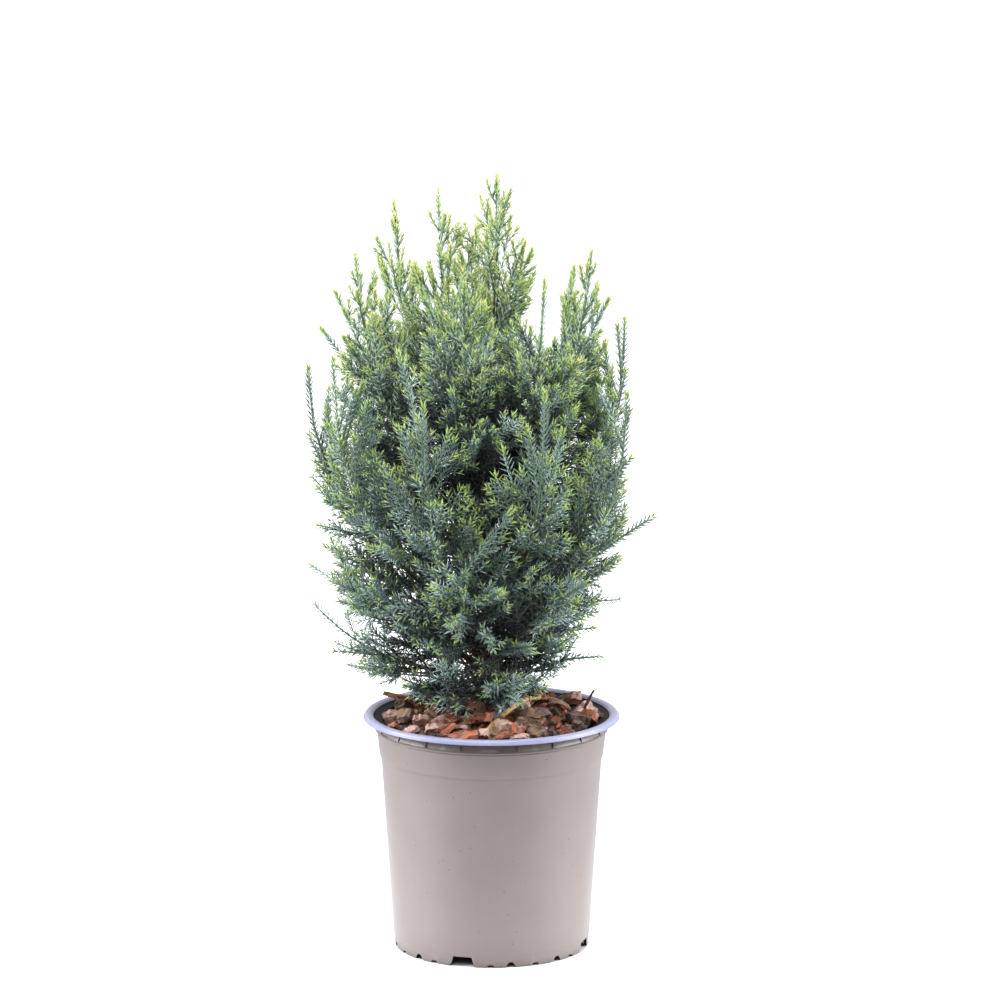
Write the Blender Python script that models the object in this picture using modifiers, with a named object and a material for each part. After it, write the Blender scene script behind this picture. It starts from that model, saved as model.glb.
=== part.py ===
# Potted false cypress: a dense, upright garden conifer with many leaders in a plastic nursery pot.
# Metres, +Z up. The origin is on the pot's axis, on the surface that the pot stands on.
# Azimuths are in degrees from +X towards +Y; the front of the plant faces -Y.

import math
import random

import bmesh
import bpy
import numpy as np
from mathutils import Matrix, Vector

SEED = 7
CLEAR = 0.0003          # gap that neighbouring pieces keep
GOLDEN_ANGLE = 137.508

# Pot
POT_HEIGHT = 0.1205
POT_SIDES = 36
LIP_RADIUS = 0.0650
LIP_DEPTH = 0.0026
LIP_OUTER_SLOPE = 0.0012    # how wide the lip's sloping outer and inner edges are, and how deep
LIP_OUTER_DROP = 0.0009
LIP_INNER_SLOPE = 0.0014
LIP_INNER_DROP = 0.0006
LIP_UNDERCUT = 0.0008
MOUTH_RADIUS = 0.0597
COLLAR_RADIUS = 0.0580
COLLAR_BOTTOM = 0.1131
LEDGE_WIDTH = 0.0010
LEDGE_DEPTH = 0.0014
BAND_TOP_RADIUS = 0.0577
BAND_BOTTOM = 0.0978
BAND_BOTTOM_RADIUS = 0.0560
BAND_STEP = 0.0006
BODY_TOP_RADIUS = 0.0554
FOOT_HEIGHT = 0.0062
FOOT_TOP_RADIUS = 0.0499
FOOT_RADIUS = 0.0489
FOOT_BEVEL = 0.0005
WALL = 0.0012
FLOOR_BOTTOM = 0.0048
FLOOR_TOP = 0.0062
PAD_RADIUS = 0.0110
RIB_COUNT = 18
RIB_TURN = 8.5          # degrees that the first rib stands round from +X
RIB_DEPTH = 0.0006
HOLE_COUNT = 8
HOLE_RADIUS = 0.0045
HOLE_CIRCLE = 0.0350
# One quarter of the foot's notches: degrees from the big notch, width, height.
FOOT_NOTCHES = (
    (0.0, 0.0113, 0.0046),
    (29.7, 0.0040, 0.0024),
    (60.3, 0.0040, 0.0024),
)
BIG_NOTCH_AZIMUTH = 251.8

# Compost and bark chips
COMPOST_TOP = 0.1060
MULCH_TOP = 0.1130
CHIP_COUNT = 25
CHIP_LENGTH = 0.0200
CHIP_WIDTH = 0.0120
CHIP_THICKNESS = 0.0042
CHIP_NEAREST = 0.0115       # ring that the chips' centres lie in: from the trunk, and from the pot's wall
CHIP_WALL_ROOM = 0.0090
MOUND_RISE = 0.0020         # how far the bed and its chips are higher beside the trunk
CHIP_SPREAD = 0.0022
CHIP_ROLL = 0.50
CHIP_PITCH = 0.35
CHIP_MARGIN = 0.0008        # least room between a chip's corner and the wall
TRUNK_ROOM = 0.0006

# Trunk: its axis leans from foot to tip
TRUNK_FOOT = (-0.0040, 0.0010)
TRUNK_TIP = (0.0012, 0.0)
TRUNK_TOP = 0.3020
TRUNK_RADIUS = 0.0046
TRUNK_TIP_RADIUS = 0.0015
FLARE_RADIUS = 0.0072
FLARE_HEIGHT = 0.0140
TRUNK_POINTS = 10
FORK_ROOM = 0.0070      # least distance from the trunk to where a bough's foliage begins
BOUGH_TIP_RADIUS = 0.0012
BOUGH_POINTS = 5

# Half widths of the whole crown: height, towards -X, towards +X.
CROWN = (
    (0.120, 0.034, 0.024),
    (0.140, 0.074, 0.040),
    (0.158, 0.084, 0.056),
    (0.176, 0.094, 0.067),
    (0.221, 0.093, 0.083),
    (0.262, 0.096, 0.074),
    (0.320, 0.090, 0.067),
    (0.345, 0.080, 0.060),
    (0.394, 0.064, 0.052),
)

# Leaders by tier: azimuth, reach and height of the tip, and the height where each leaves the trunk.
# rise is how far up, and out how far out, the bend of its path lies; bare is the part with no foliage.
TIERS = {
    "spire": {
        "leaders": (
            (205, 0.0290, 0.387, 0.238),
            (160, 0.0520, 0.378, 0.222),
            (197, 0.0700, 0.356, 0.205),
            (352, 0.0490, 0.350, 0.232),
            (303, 0.0480, 0.346, 0.214),
            (98, 0.0480, 0.362, 0.212),
            (42, 0.0480, 0.354, 0.198),
            (252, 0.0450, 0.352, 0.196),
        ),
        "rise": 0.32,
        "out": 0.90,
        "bare": 0.15,
        "half_width": 0.031,
        "side_shoots": 4,
        "root_radius": 0.0019,
    },
    "flank": {
        "leaders": (
            (6, 0.0670, 0.320, 0.176),
            (329, 0.0780, 0.290, 0.163),
            (289, 0.0800, 0.296, 0.170),
            (246, 0.0810, 0.290, 0.158),
            (208, 0.0880, 0.308, 0.166),
            (176, 0.0920, 0.296, 0.174),
            (138, 0.0880, 0.306, 0.156),
            (94, 0.0820, 0.300, 0.167),
            (50, 0.0790, 0.296, 0.160),
        ),
        "rise": 0.30,
        "out": 1.02,
        "bare": 0.18,
        "half_width": 0.037,
        "side_shoots": 5,
        "root_radius": 0.0022,
    },
    "skirt": {
        "leaders": (
            (357, 0.0815, 0.222, 0.141),
            (306, 0.0800, 0.200, 0.137),
            (256, 0.0820, 0.206, 0.143),
            (207, 0.0890, 0.196, 0.138),
            (160, 0.0900, 0.200, 0.144),
            (108, 0.0840, 0.202, 0.136),
            (50, 0.0800, 0.198, 0.145),
        ),
        "rise": 0.62,
        "out": 0.40,
        "bare": 0.18,
        "half_width": 0.038,
        "side_shoots": 4,
        "root_radius": 0.0021,
    },
    "foot": {
        "leaders": (
            (180, 0.0790, 0.152, 0.1275),
            (236, 0.0680, 0.139, 0.1262),
            (287, 0.0620, 0.137, 0.1275),
            (346, 0.0560, 0.152, 0.1265),
            (54, 0.0620, 0.152, 0.1275),
            (118, 0.0700, 0.150, 0.1265),
        ),
        "rise": 0.95,
        "out": 0.45,
        "bare": 0.0,
        "half_width": 0.028,
        "side_shoots": 3,
        "root_radius": 0.0016,
    },
}
LEADER_TIP = (0.0030, 0.0, 0.393)
LEADER_HALF_WIDTH = 0.024

# Foliage: a shoot is a slim core that swept-up needle sprays stand out of on all sides
SPIKE_ROWS = 2          # sprays round each ring of a shoot, turned by half a step on the next
SWEEP = 1.05            # how far a spray leans to the tip, as a part of how far it stands out
STEM_RINGS = 11
STEM_VALLEY = 0.0026
STEM_CREST = 0.0105
SHOOT_RINGS = 5
SHOOT_FIRST_RING = 0.26
SHOOT_VALLEY = 0.0019
SHOOT_CREST = 0.0092
LOWEST_SHOOT = 0.06     # place of a stem's lowest side shoot, from 0 at its foot to 1 at its tip
TRUNK_SIDE_SHOOT = 0.27  # the same on a stem that grows straight from the trunk
HIGHEST_SHOOT = 0.72
LOW_REACH = 1.35        # reach of the lowest and of a topmost side shoot, as a part of half_width
HIGH_REACH = 0.70
LOW_PITCH = 54.0        # degrees between the stem and the same two side shoots
HIGH_PITCH = 32.0
PITCH_SPREAD = 4.0
ROOT_DEPTH = 0.0015     # how far past the stem's centre a side shoot's root reaches
FAN_TURN = 35.0         # degrees that side shoots may turn out of the plane of their mass's fan
SHOOT_LIFT = 0.22       # how far side shoots turn up towards the light
SPACE_MARGIN = 0.0009
LIMB_MARGIN = 0.0010
CROWN_FLOOR = 0.1215    # height that no foliage goes below
TIP_ALLOWANCE = 0.0005  # how far above its leader's highest point a spray may reach


def reset_scene():
    for item in list(bpy.data.objects):
        bpy.data.objects.remove(item, do_unlink=True)
    for item in list(bpy.data.collections):
        bpy.data.collections.remove(item)
    plant = bpy.data.collections.new("potted_false_cypress")
    guides = bpy.data.collections.new("cutters")
    bpy.context.scene.collection.children.link(plant)
    bpy.context.scene.collection.children.link(guides)
    return plant, guides


def make_material(name, colour, roughness):
    material = bpy.data.materials.new(name)
    material.use_nodes = True
    shader = material.node_tree.nodes["Principled BSDF"]
    shader.inputs["Base Color"].default_value = (*colour, 1.0)
    shader.inputs["Roughness"].default_value = roughness
    shader.inputs["Metallic"].default_value = 0.0
    return material


def add_object(name, mesh, collection, material=None):
    item = bpy.data.objects.new(name, mesh)
    collection.objects.link(item)
    if material:
        mesh.materials.clear()
        mesh.materials.append(material)
    return item


def mesh_from_bmesh(bm, name):
    mesh = bpy.data.meshes.new(name)
    bm.to_mesh(mesh)
    bm.free()
    return mesh


def mark_as_cutter(item):
    item.hide_render = True
    item.display_type = "WIRE"


def evaluated_mesh(item):
    bpy.context.view_layer.update()
    graph = bpy.context.evaluated_depsgraph_get()
    return bpy.data.meshes.new_from_object(item.evaluated_get(graph))


def add_boolean(item, other, operation):
    modifier = item.modifiers.new(operation.lower(), "BOOLEAN")
    modifier.operation = operation
    modifier.solver = "EXACT"
    modifier.object = other
    return modifier


def polar(radius, azimuth, height):
    angle = math.radians(azimuth)
    return Vector((radius * math.cos(angle), radius * math.sin(angle), height))


def turned(name, profile, sides, collection, material):
    # The profile lies in the XZ plane, and its outer side runs from top to bottom.
    bm = bmesh.new()
    points = [bm.verts.new((radius, 0.0, height)) for radius, height in profile]
    for first, second in zip(points, points[1:]):
        bm.edges.new((first, second))
    item = add_object(name, mesh_from_bmesh(bm, name), collection, material)
    screw = item.modifiers.new("turn", "SCREW")
    screw.steps = sides
    screw.render_steps = sides
    screw.use_merge_vertices = True
    screw.merge_threshold = 0.00005
    screw.use_smooth_shade = True
    return item


def taper_box(length_bottom, length_top, depth, height):
    # A box standing on z = 0, centred in X and Y, with another length at its top.
    bm = bmesh.new()
    bmesh.ops.create_cube(bm, size=1.0)
    for vert in bm.verts:
        length = length_top if vert.co.z > 0 else length_bottom
        vert.co = Vector((vert.co.x * depth, vert.co.y * length, (vert.co.z + 0.5) * height))
    return bm


def joined_cutter(name, shapes, collection):
    # shapes holds a bmesh and the matrix that places it.
    joined = bmesh.new()
    for shape, matrix in shapes:
        shape.transform(matrix)
        mesh = mesh_from_bmesh(shape, "piece")
        joined.from_mesh(mesh)
        bpy.data.meshes.remove(mesh)
    item = add_object(name, mesh_from_bmesh(joined, name), collection)
    mark_as_cutter(item)
    return item


def around(radius, azimuth, height):
    return Matrix.Rotation(math.radians(azimuth), 4, "Z") @ Matrix.Translation((radius, 0.0, height))


def inner_radius(height):
    # Radius of the pot's inner wall below the collar.
    share = (height - FOOT_HEIGHT) / (BAND_BOTTOM - FOOT_HEIGHT)
    return FOOT_TOP_RADIUS + share * (BODY_TOP_RADIUS - FOOT_TOP_RADIUS) - WALL


def build_pot(plant, guides):
    lip_bottom = POT_HEIGHT - LIP_DEPTH
    profile = [
        (0.0, FLOOR_TOP),
        (inner_radius(FLOOR_TOP), FLOOR_TOP),
        (inner_radius(BAND_BOTTOM), BAND_BOTTOM),
        (COLLAR_RADIUS - WALL, COLLAR_BOTTOM),
        (COLLAR_RADIUS - WALL, lip_bottom + CLEAR),
        (MOUTH_RADIUS, POT_HEIGHT - LIP_INNER_DROP),
        (MOUTH_RADIUS + LIP_INNER_SLOPE, POT_HEIGHT),
        (LIP_RADIUS - LIP_OUTER_SLOPE, POT_HEIGHT),
        (LIP_RADIUS, POT_HEIGHT - LIP_OUTER_DROP),
        (LIP_RADIUS, lip_bottom),
        (COLLAR_RADIUS, lip_bottom - LIP_UNDERCUT),
        (COLLAR_RADIUS, COLLAR_BOTTOM),
        (BAND_TOP_RADIUS + LEDGE_WIDTH, COLLAR_BOTTOM - CLEAR),
        (BAND_TOP_RADIUS, COLLAR_BOTTOM - LEDGE_DEPTH),
        (BAND_BOTTOM_RADIUS, BAND_BOTTOM),
        (BODY_TOP_RADIUS, BAND_BOTTOM - BAND_STEP),
        (FOOT_TOP_RADIUS, FOOT_HEIGHT),
        (FOOT_TOP_RADIUS - FOOT_BEVEL, FOOT_HEIGHT - FOOT_BEVEL),
        (FOOT_RADIUS, 0.0),
        (FOOT_RADIUS - WALL, 0.0),
        (FOOT_RADIUS - WALL, FLOOR_BOTTOM),
        (PAD_RADIUS, FLOOR_BOTTOM),
        (PAD_RADIUS, 0.0),
        (0.0, 0.0),
    ]
    material = make_material("pot", (0.36, 0.31, 0.30), 0.45)
    pot = turned("pot", profile, POT_SIDES, plant, material)

    rib_bottom = COLLAR_BOTTOM - 0.0005
    rib_width = math.radians(180.0 / RIB_COUNT) * COLLAR_RADIUS
    ribs = []
    for index in range(RIB_COUNT):
        shape = taper_box(rib_width, rib_width, WALL, lip_bottom - rib_bottom)
        azimuth = RIB_TURN + index * 360.0 / RIB_COUNT
        ribs.append((shape, around(COLLAR_RADIUS + RIB_DEPTH - 0.5 * WALL, azimuth, rib_bottom)))
    add_boolean(pot, joined_cutter("rib_blocks", ribs, guides), "UNION")

    cuts = []
    for quarter in range(4):
        for turn, width, height in FOOT_NOTCHES:
            shape = taper_box(1.2 * width, 0.8 * width, 0.012, height + 0.002)
            azimuth = BIG_NOTCH_AZIMUTH + 90.0 * quarter + turn
            cuts.append((shape, around(FOOT_RADIUS, azimuth, -0.002)))
    for index in range(HOLE_COUNT):
        shape = bmesh.new()
        bmesh.ops.create_cone(shape, cap_ends=True, segments=8, radius1=HOLE_RADIUS,
                              radius2=HOLE_RADIUS, depth=0.006)
        azimuth = (index + 0.5) * 360.0 / HOLE_COUNT
        cuts.append((shape, around(HOLE_CIRCLE, azimuth, 0.5 * (FLOOR_TOP + FLOOR_BOTTOM))))
    add_boolean(pot, joined_cutter("foot_cuts", cuts, guides), "DIFFERENCE")
    return pot


def build_compost(plant):
    profile = [
        (0.0, COMPOST_TOP),
        (inner_radius(COMPOST_TOP) - CLEAR, COMPOST_TOP),
        (inner_radius(FLOOR_TOP + CLEAR) - CLEAR, FLOOR_TOP + CLEAR),
        (0.0, FLOOR_TOP + CLEAR),
    ]
    material = make_material("compost", (0.05, 0.03, 0.025), 0.95)
    return turned("compost", profile, POT_SIDES, plant, material)


def chip_shape(rng):
    # A split flake of bark: a flat block with a skewed, narrower end.
    length = CHIP_LENGTH * rng.uniform(0.65, 1.25)
    width = CHIP_WIDTH * rng.uniform(0.7, 1.25)
    thickness = CHIP_THICKNESS * rng.uniform(0.75, 1.3)
    bm = bmesh.new()
    bmesh.ops.create_cube(bm, size=1.0)
    end_share = rng.uniform(0.35, 0.85)
    skew = rng.uniform(-0.25, 0.25)
    for vert in bm.verts:
        share = end_share if vert.co.x > 0 else 1.0
        side = vert.co.y * width * share + (skew * width if vert.co.x > 0 else 0.0)
        vert.co = Vector((vert.co.x * length, side, vert.co.z * thickness * (0.5 + 0.5 * share)))
    return bm


def build_mulch(plant, guides, trunk_outline):
    rng = random.Random(SEED)
    bottom = COMPOST_TOP + CLEAR
    top_radius = inner_radius(MULCH_TOP) - CLEAR
    bottom_radius = inner_radius(bottom) - CLEAR
    profile = [
        (0.0, MULCH_TOP + MOUND_RISE),
        (top_radius, MULCH_TOP),
        (bottom_radius, bottom),
        (0.0, bottom),
    ]
    material = make_material("bark_chips", (0.26, 0.12, 0.09), 0.85)
    bed = turned("bark_mulch", profile, POT_SIDES, plant, material)
    chips = bpy.data.collections.new("chips")
    bpy.context.scene.collection.children.link(chips)
    foot = Vector((TRUNK_FOOT[0], TRUNK_FOOT[1], 0.0))
    for index in range(CHIP_COUNT):
        share = (index + 0.7) / CHIP_COUNT
        radius = CHIP_NEAREST + (top_radius - CHIP_WALL_ROOM - CHIP_NEAREST) * math.sqrt(share)
        height = MULCH_TOP + rng.uniform(0.0, CHIP_SPREAD) + MOUND_RISE * (1.0 - share)
        place = foot * (1.0 - share) + polar(radius, index * GOLDEN_ANGLE, height)
        turn = Matrix.Rotation(rng.uniform(0.0, 2.0 * math.pi), 4, "Z")
        roll = Matrix.Rotation(rng.uniform(-CHIP_ROLL, CHIP_ROLL), 4, "X")
        pitch = Matrix.Rotation(rng.uniform(-CHIP_PITCH, CHIP_PITCH), 4, "Y")
        shape = chip_shape(rng)
        shape.transform(Matrix.Translation(place) @ turn @ roll @ pitch)
        for vert in shape.verts:
            limit = (top_radius - CHIP_MARGIN) / max(math.hypot(vert.co.x, vert.co.y), 0.001)
            if limit < 1.0:
                vert.co.x *= limit
                vert.co.y *= limit
        add_object(f"chip_{index}", mesh_from_bmesh(shape, "chip"), chips)
    fuse_collection(bed, chips)
    hole = bmesh.new()
    bmesh.ops.create_cone(hole, cap_ends=True, segments=12, radius1=trunk_outline, radius2=trunk_outline,
                          depth=0.05)
    place = Matrix.Translation((*TRUNK_FOOT, MULCH_TOP))
    hole_cutter = joined_cutter("trunk_hole", [(hole, place)], guides)
    add_boolean(bed, hole_cutter, "DIFFERENCE")
    settle_modifiers(bed)
    keep_largest_body(bed.data)


def settle_modifiers(item):
    mesh = evaluated_mesh(item)
    materials = [slot.material for slot in item.material_slots]
    item.modifiers.clear()
    item.data = mesh
    mesh.materials.clear()
    for material in materials:
        mesh.materials.append(material)


def fuse_collection(body, pieces, solver="EXACT"):
    # One union joins the body and every object of the collection, which is then removed.
    modifier = body.modifiers.new("fuse", "BOOLEAN")
    modifier.operation = "UNION"
    modifier.operand_type = "COLLECTION"
    modifier.collection = pieces
    modifier.solver = solver
    settle_modifiers(body)
    for item in list(pieces.objects):
        bpy.data.objects.remove(item, do_unlink=True)
    bpy.data.collections.remove(pieces)


def keep_largest_body(mesh):
    # Drops loose scraps, and the inner skin of any hollow that the union sealed.
    bm = bmesh.new()
    bm.from_mesh(mesh)
    bmesh.ops.remove_doubles(bm, verts=bm.verts, dist=0.000002)
    unseen = set(bm.faces)
    groups = []
    while unseen:
        stack = [unseen.pop()]
        group = []
        while stack:
            face = stack.pop()
            group.append(face)
            for edge in face.edges:
                for other in edge.link_faces:
                    if other in unseen:
                        unseen.discard(other)
                        stack.append(other)
        groups.append(group)
    groups.sort(key=len, reverse=True)
    scraps = [face for group in groups[1:] for face in group]
    bmesh.ops.delete(bm, geom=scraps, context="FACES")
    closed = all(edge.is_manifold for edge in bm.edges)
    bm.to_mesh(mesh)
    bm.free()
    return closed


def limb_mesh(name, points, radii, resolution):
    # A tapering limb: a curve with a radius at each point, made a mesh with its caps welded on.
    curve = bpy.data.curves.new(name, "CURVE")
    curve.dimensions = "3D"
    curve.bevel_depth = 1.0
    curve.bevel_resolution = resolution
    curve.use_fill_caps = True
    spline = curve.splines.new("POLY")
    spline.points.add(len(points) - 1)
    for knot, point, radius in zip(spline.points, points, radii):
        knot.co = (*point, 1.0)
        knot.radius = radius
    item = bpy.data.objects.new(name, curve)
    bpy.context.scene.collection.objects.link(item)
    mesh = evaluated_mesh(item)
    bpy.data.objects.remove(item, do_unlink=True)
    bpy.data.curves.remove(curve)
    bm = bmesh.new()
    bm.from_mesh(mesh)
    bmesh.ops.remove_doubles(bm, verts=bm.verts, dist=0.000001)
    bmesh.ops.recalc_face_normals(bm, faces=bm.faces)
    bm.to_mesh(mesh)
    bm.free()
    mesh.name = name
    return mesh


def trunk_axis(height):
    # The trunk's centre at a height: a gentle S between its foot and its tip.
    share = (height - COMPOST_TOP) / (TRUNK_TOP - COMPOST_TOP)
    ease = share * share * (3.0 - 2.0 * share)
    sway = 0.0016 * math.sin(2.0 * math.pi * share)
    x = TRUNK_FOOT[0] + ease * (TRUNK_TIP[0] - TRUNK_FOOT[0]) + sway
    y = TRUNK_FOOT[1] + ease * (TRUNK_TIP[1] - TRUNK_FOOT[1]) - 0.6 * sway
    return Vector((x, y, height))


def trunk_radius(height):
    share = max(0.0, (height - COMPOST_TOP) / (TRUNK_TOP - COMPOST_TOP))
    flare = (FLARE_RADIUS - TRUNK_RADIUS) * math.exp(-(height - COMPOST_TOP) / (0.45 * FLARE_HEIGHT))
    return TRUNK_RADIUS + share * (TRUNK_TIP_RADIUS - TRUNK_RADIUS) + flare


def trunk_shape(name, extra):
    bottom = COMPOST_TOP + CLEAR
    heights = [bottom - 0.004, bottom + 0.003, bottom + 0.007, bottom + FLARE_HEIGHT]
    step = (TRUNK_TOP - heights[-1]) / (TRUNK_POINTS - len(heights))
    while len(heights) < TRUNK_POINTS:
        heights.append(heights[-1] + step)
    points = [trunk_axis(height) for height in heights]
    radii = [trunk_radius(height) + extra for height in heights]
    mesh = limb_mesh(name, points, radii, 3)
    bm = bmesh.new()
    bm.from_mesh(mesh)
    cut = bmesh.ops.bisect_plane(bm, geom=bm.verts[:] + bm.edges[:] + bm.faces[:], plane_co=(0, 0, bottom),
                                 plane_no=(0, 0, -1), clear_outer=True)
    rim = [part for part in cut["geom_cut"] if isinstance(part, bmesh.types.BMEdge)]
    bmesh.ops.contextual_create(bm, geom=rim)
    bmesh.ops.recalc_face_normals(bm, faces=bm.faces)
    bm.to_mesh(mesh)
    bm.free()
    return mesh


def bend(start, middle, end, count):
    # Points of a quadratic curve, ends included.
    result = []
    for index in range(count):
        t = index / (count - 1)
        result.append(start * (1 - t) ** 2 + middle * (2 * t * (1 - t)) + end * t * t)
    return result


class Leader:
    # One leader of the shrub: its bough and the stem of its foliage are parts of one smooth path.
    def __init__(self, name, start, middle, tip, tier):
        self.name = name
        self.start = start
        self.middle = middle
        self.tip = tip
        self.half_width = tier["half_width"]
        self.side_shoots = tier["side_shoots"]
        self.root_radius = tier["root_radius"]
        self.path = bend(start, middle, tip, 25)
        self.length = sum((b - a).length for a, b in zip(self.path, self.path[1:]))
        self.bare = tier["bare"]
        while self.bare > 0 and self.trunk_room() < FORK_ROOM:
            self.bare += 0.01
        # Without a bough the stem comes out of the trunk's side, or stands on the trunk's cut tip.
        self.leaves_bark = self.bare == 0 and start.z < TRUNK_TOP - CLEAR
        self.bough = []
        self.bough_radii = []
        if self.bare > 0:
            self.bough = [self.at(self.bare * index / (BOUGH_POINTS - 1)) for index in range(BOUGH_POINTS)]
            self.bough_radii = [
                self.root_radius + (BOUGH_TIP_RADIUS - self.root_radius) * index / (BOUGH_POINTS - 1)
                for index in range(BOUGH_POINTS)
            ]

    def trunk_room(self):
        # Distance from the trunk's bark to where the foliage begins.
        place = self.at(self.bare)
        beside = trunk_axis(place.z)
        return (place - beside).length - trunk_radius(place.z)

    def at(self, t):
        return self.start * (1 - t) ** 2 + self.middle * (2 * t * (1 - t)) + self.tip * t * t

    def direction(self, t):
        slope = (self.middle - self.start) * (1 - t) + (self.tip - self.middle) * t
        return slope.normalized()


def build_leaders():
    leaders = []
    for tier_name, tier in TIERS.items():
        for number, (azimuth, reach, height, fork) in enumerate(tier["leaders"], start=1):
            start = trunk_axis(fork)
            tip = polar(reach, azimuth, height)
            outward = Vector((tip.x - start.x, tip.y - start.y, 0.0))
            middle = start + outward * tier["out"] + Vector((0.0, 0.0, tier["rise"] * (height - fork)))
            leaders.append(Leader(f"{tier_name}_{number}", start, middle, tip, tier))
    top = trunk_axis(TRUNK_TOP)
    tip = Vector(LEADER_TIP)
    tier = {
        "bare": 0.0,
        "half_width": LEADER_HALF_WIDTH,
        "side_shoots": 4,
        "root_radius": TRUNK_TIP_RADIUS,
    }
    leaders.append(Leader("leader", top, 0.5 * (top + tip) + Vector((0.0008, 0.0, 0.0)), tip, tier))
    return leaders


def distances(points, path):
    # Distance from each point to a path of straight stretches.
    points = np.asarray(points, dtype=float)
    path = np.asarray(path, dtype=float)
    starts = path[:-1]
    runs = path[1:] - starts
    offset = points[:, None, :] - starts[None, :, :]
    share = np.clip((offset * runs).sum(-1) / (runs * runs).sum(-1), 0.0, 1.0)
    nearest = starts + share[..., None] * runs
    return np.linalg.norm(points[:, None, :] - nearest, axis=-1).min(axis=1)


def crown_reach(points):
    # Largest distance from the pot's axis that the crown has at each point's height and side.
    points = np.asarray(points, dtype=float)
    table = np.array(CROWN)
    left = np.interp(points[:, 2], table[:, 0], table[:, 1])
    right = np.interp(points[:, 2], table[:, 0], table[:, 2])
    radius = np.hypot(points[:, 0], points[:, 1])
    cosine = points[:, 0] / np.maximum(radius, 1e-9)
    return radius, 0.5 * (left + right) + 0.5 * (right - left) * cosine


class Space:
    # The room that each mass keeps to: nearer to its own stem than to any other, and clear of the limbs.
    def __init__(self, leaders):
        self.stems = {leader.name: [leader.at(t) for t in np.linspace(leader.bare, 1.0, 15)]
                      for leader in leaders}
        self.tops = {leader.name: max(point.z for point in leader.path) for leader in leaders}
        self.limbs = [(leader.bough, max(leader.bough_radii)) for leader in leaders if leader.bough]
        heights = np.linspace(COMPOST_TOP, TRUNK_TOP, 14)
        self.trunk = [trunk_axis(float(height)) for height in heights]
        self.trunk_radii = [trunk_radius(float(height)) for height in heights]

    def limb_room(self, points):
        # Smallest distance from each point to the bark of any limb.
        room = np.full(len(points), 1.0)
        for bough, radius in self.limbs:
            room = np.minimum(room, distances(points, bough) - radius)
        for index in range(len(self.trunk) - 1):
            stretch = self.trunk[index:index + 2]
            room = np.minimum(room, distances(points, stretch) - self.trunk_radii[index])
        return room

    def neighbour_distance(self, points, own):
        result = np.full(len(points), 1.0)
        for name, stem in self.stems.items():
            if name != own:
                result = np.minimum(result, distances(points, stem))
        return result

    def holds(self, points, own):
        points = np.asarray(points, dtype=float)
        own_distance = distances(points, self.stems[own])
        if (own_distance + SPACE_MARGIN > self.neighbour_distance(points, own)).any():
            return False
        if (self.limb_room(points) < LIMB_MARGIN).any():
            return False
        radius, reach = crown_reach(points)
        over_mulch = points[:, 2] > CROWN_FLOOR
        under_tip = points[:, 2] < self.tops[own] + TIP_ALLOWANCE
        return bool((radius <= reach).all() and over_mulch.all() and under_tip.all())


def sideways(direction, pitch, azimuth):
    # The direction turned away by pitch, towards azimuth round it, both in radians.
    across = direction.orthogonal().normalized()
    other = direction.cross(across)
    side = across * math.cos(azimuth) + other * math.sin(azimuth)
    return (direction * math.cos(pitch) + side * math.sin(pitch)).normalized()


def star_loft(axis, valleys, crests, turn, fit):
    # A closed shoot along an axis from root to tip. Each ring between them alternates valley points
    # near the axis and crest points that stand out and lean to the tip; rings are turned by turns.
    # fit moves a crest point back until it has room.
    bm = bmesh.new()
    corners = 2 * SPIKE_ROWS
    side = (axis[1] - axis[0]).orthogonal().normalized()
    rings = []
    for index in range(1, len(axis) - 1):
        centre = axis[index]
        direction = (axis[index + 1] - axis[index - 1]).normalized()
        side = (side - direction * side.dot(direction)).normalized()
        other = direction.cross(side)
        ring = []
        for corner in range(corners):
            angle = turn + 2.0 * math.pi * corner / corners
            out = side * math.cos(angle) + other * math.sin(angle)
            valley = centre + out * valleys[index]
            if (corner + index) % 2 == 0 and crests[index] > valleys[index]:
                stand = crests[index] - valleys[index]
                crest = centre + out * crests[index] + direction * (SWEEP * stand)
                ring.append(bm.verts.new(fit(crest, valley)))
            else:
                ring.append(bm.verts.new(valley))
        rings.append(ring)
    root = bm.verts.new(axis[0])
    tip = bm.verts.new(axis[-1])
    for corner in range(corners):
        following = (corner + 1) % corners
        for lower, upper in zip(rings, rings[1:]):
            bm.faces.new((lower[corner], lower[following], upper[following], upper[corner]))
        bm.faces.new((root, rings[0][following], rings[0][corner]))
        bm.faces.new((tip, rings[-1][corner], rings[-1][following]))
    bmesh.ops.triangulate(bm, faces=bm.faces, quad_method="SHORT_EDGE")
    bmesh.ops.recalc_face_normals(bm, faces=bm.faces)
    return bm


def ring_round(leader, t, radius):
    # Points round a leader's path at t.
    centre = leader.at(t)
    direction = leader.direction(t)
    turns = [math.radians(turn) for turn in range(0, 360, 45)]
    return [centre + sideways(direction, 0.5 * math.pi, turn) * radius for turn in turns]


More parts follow.
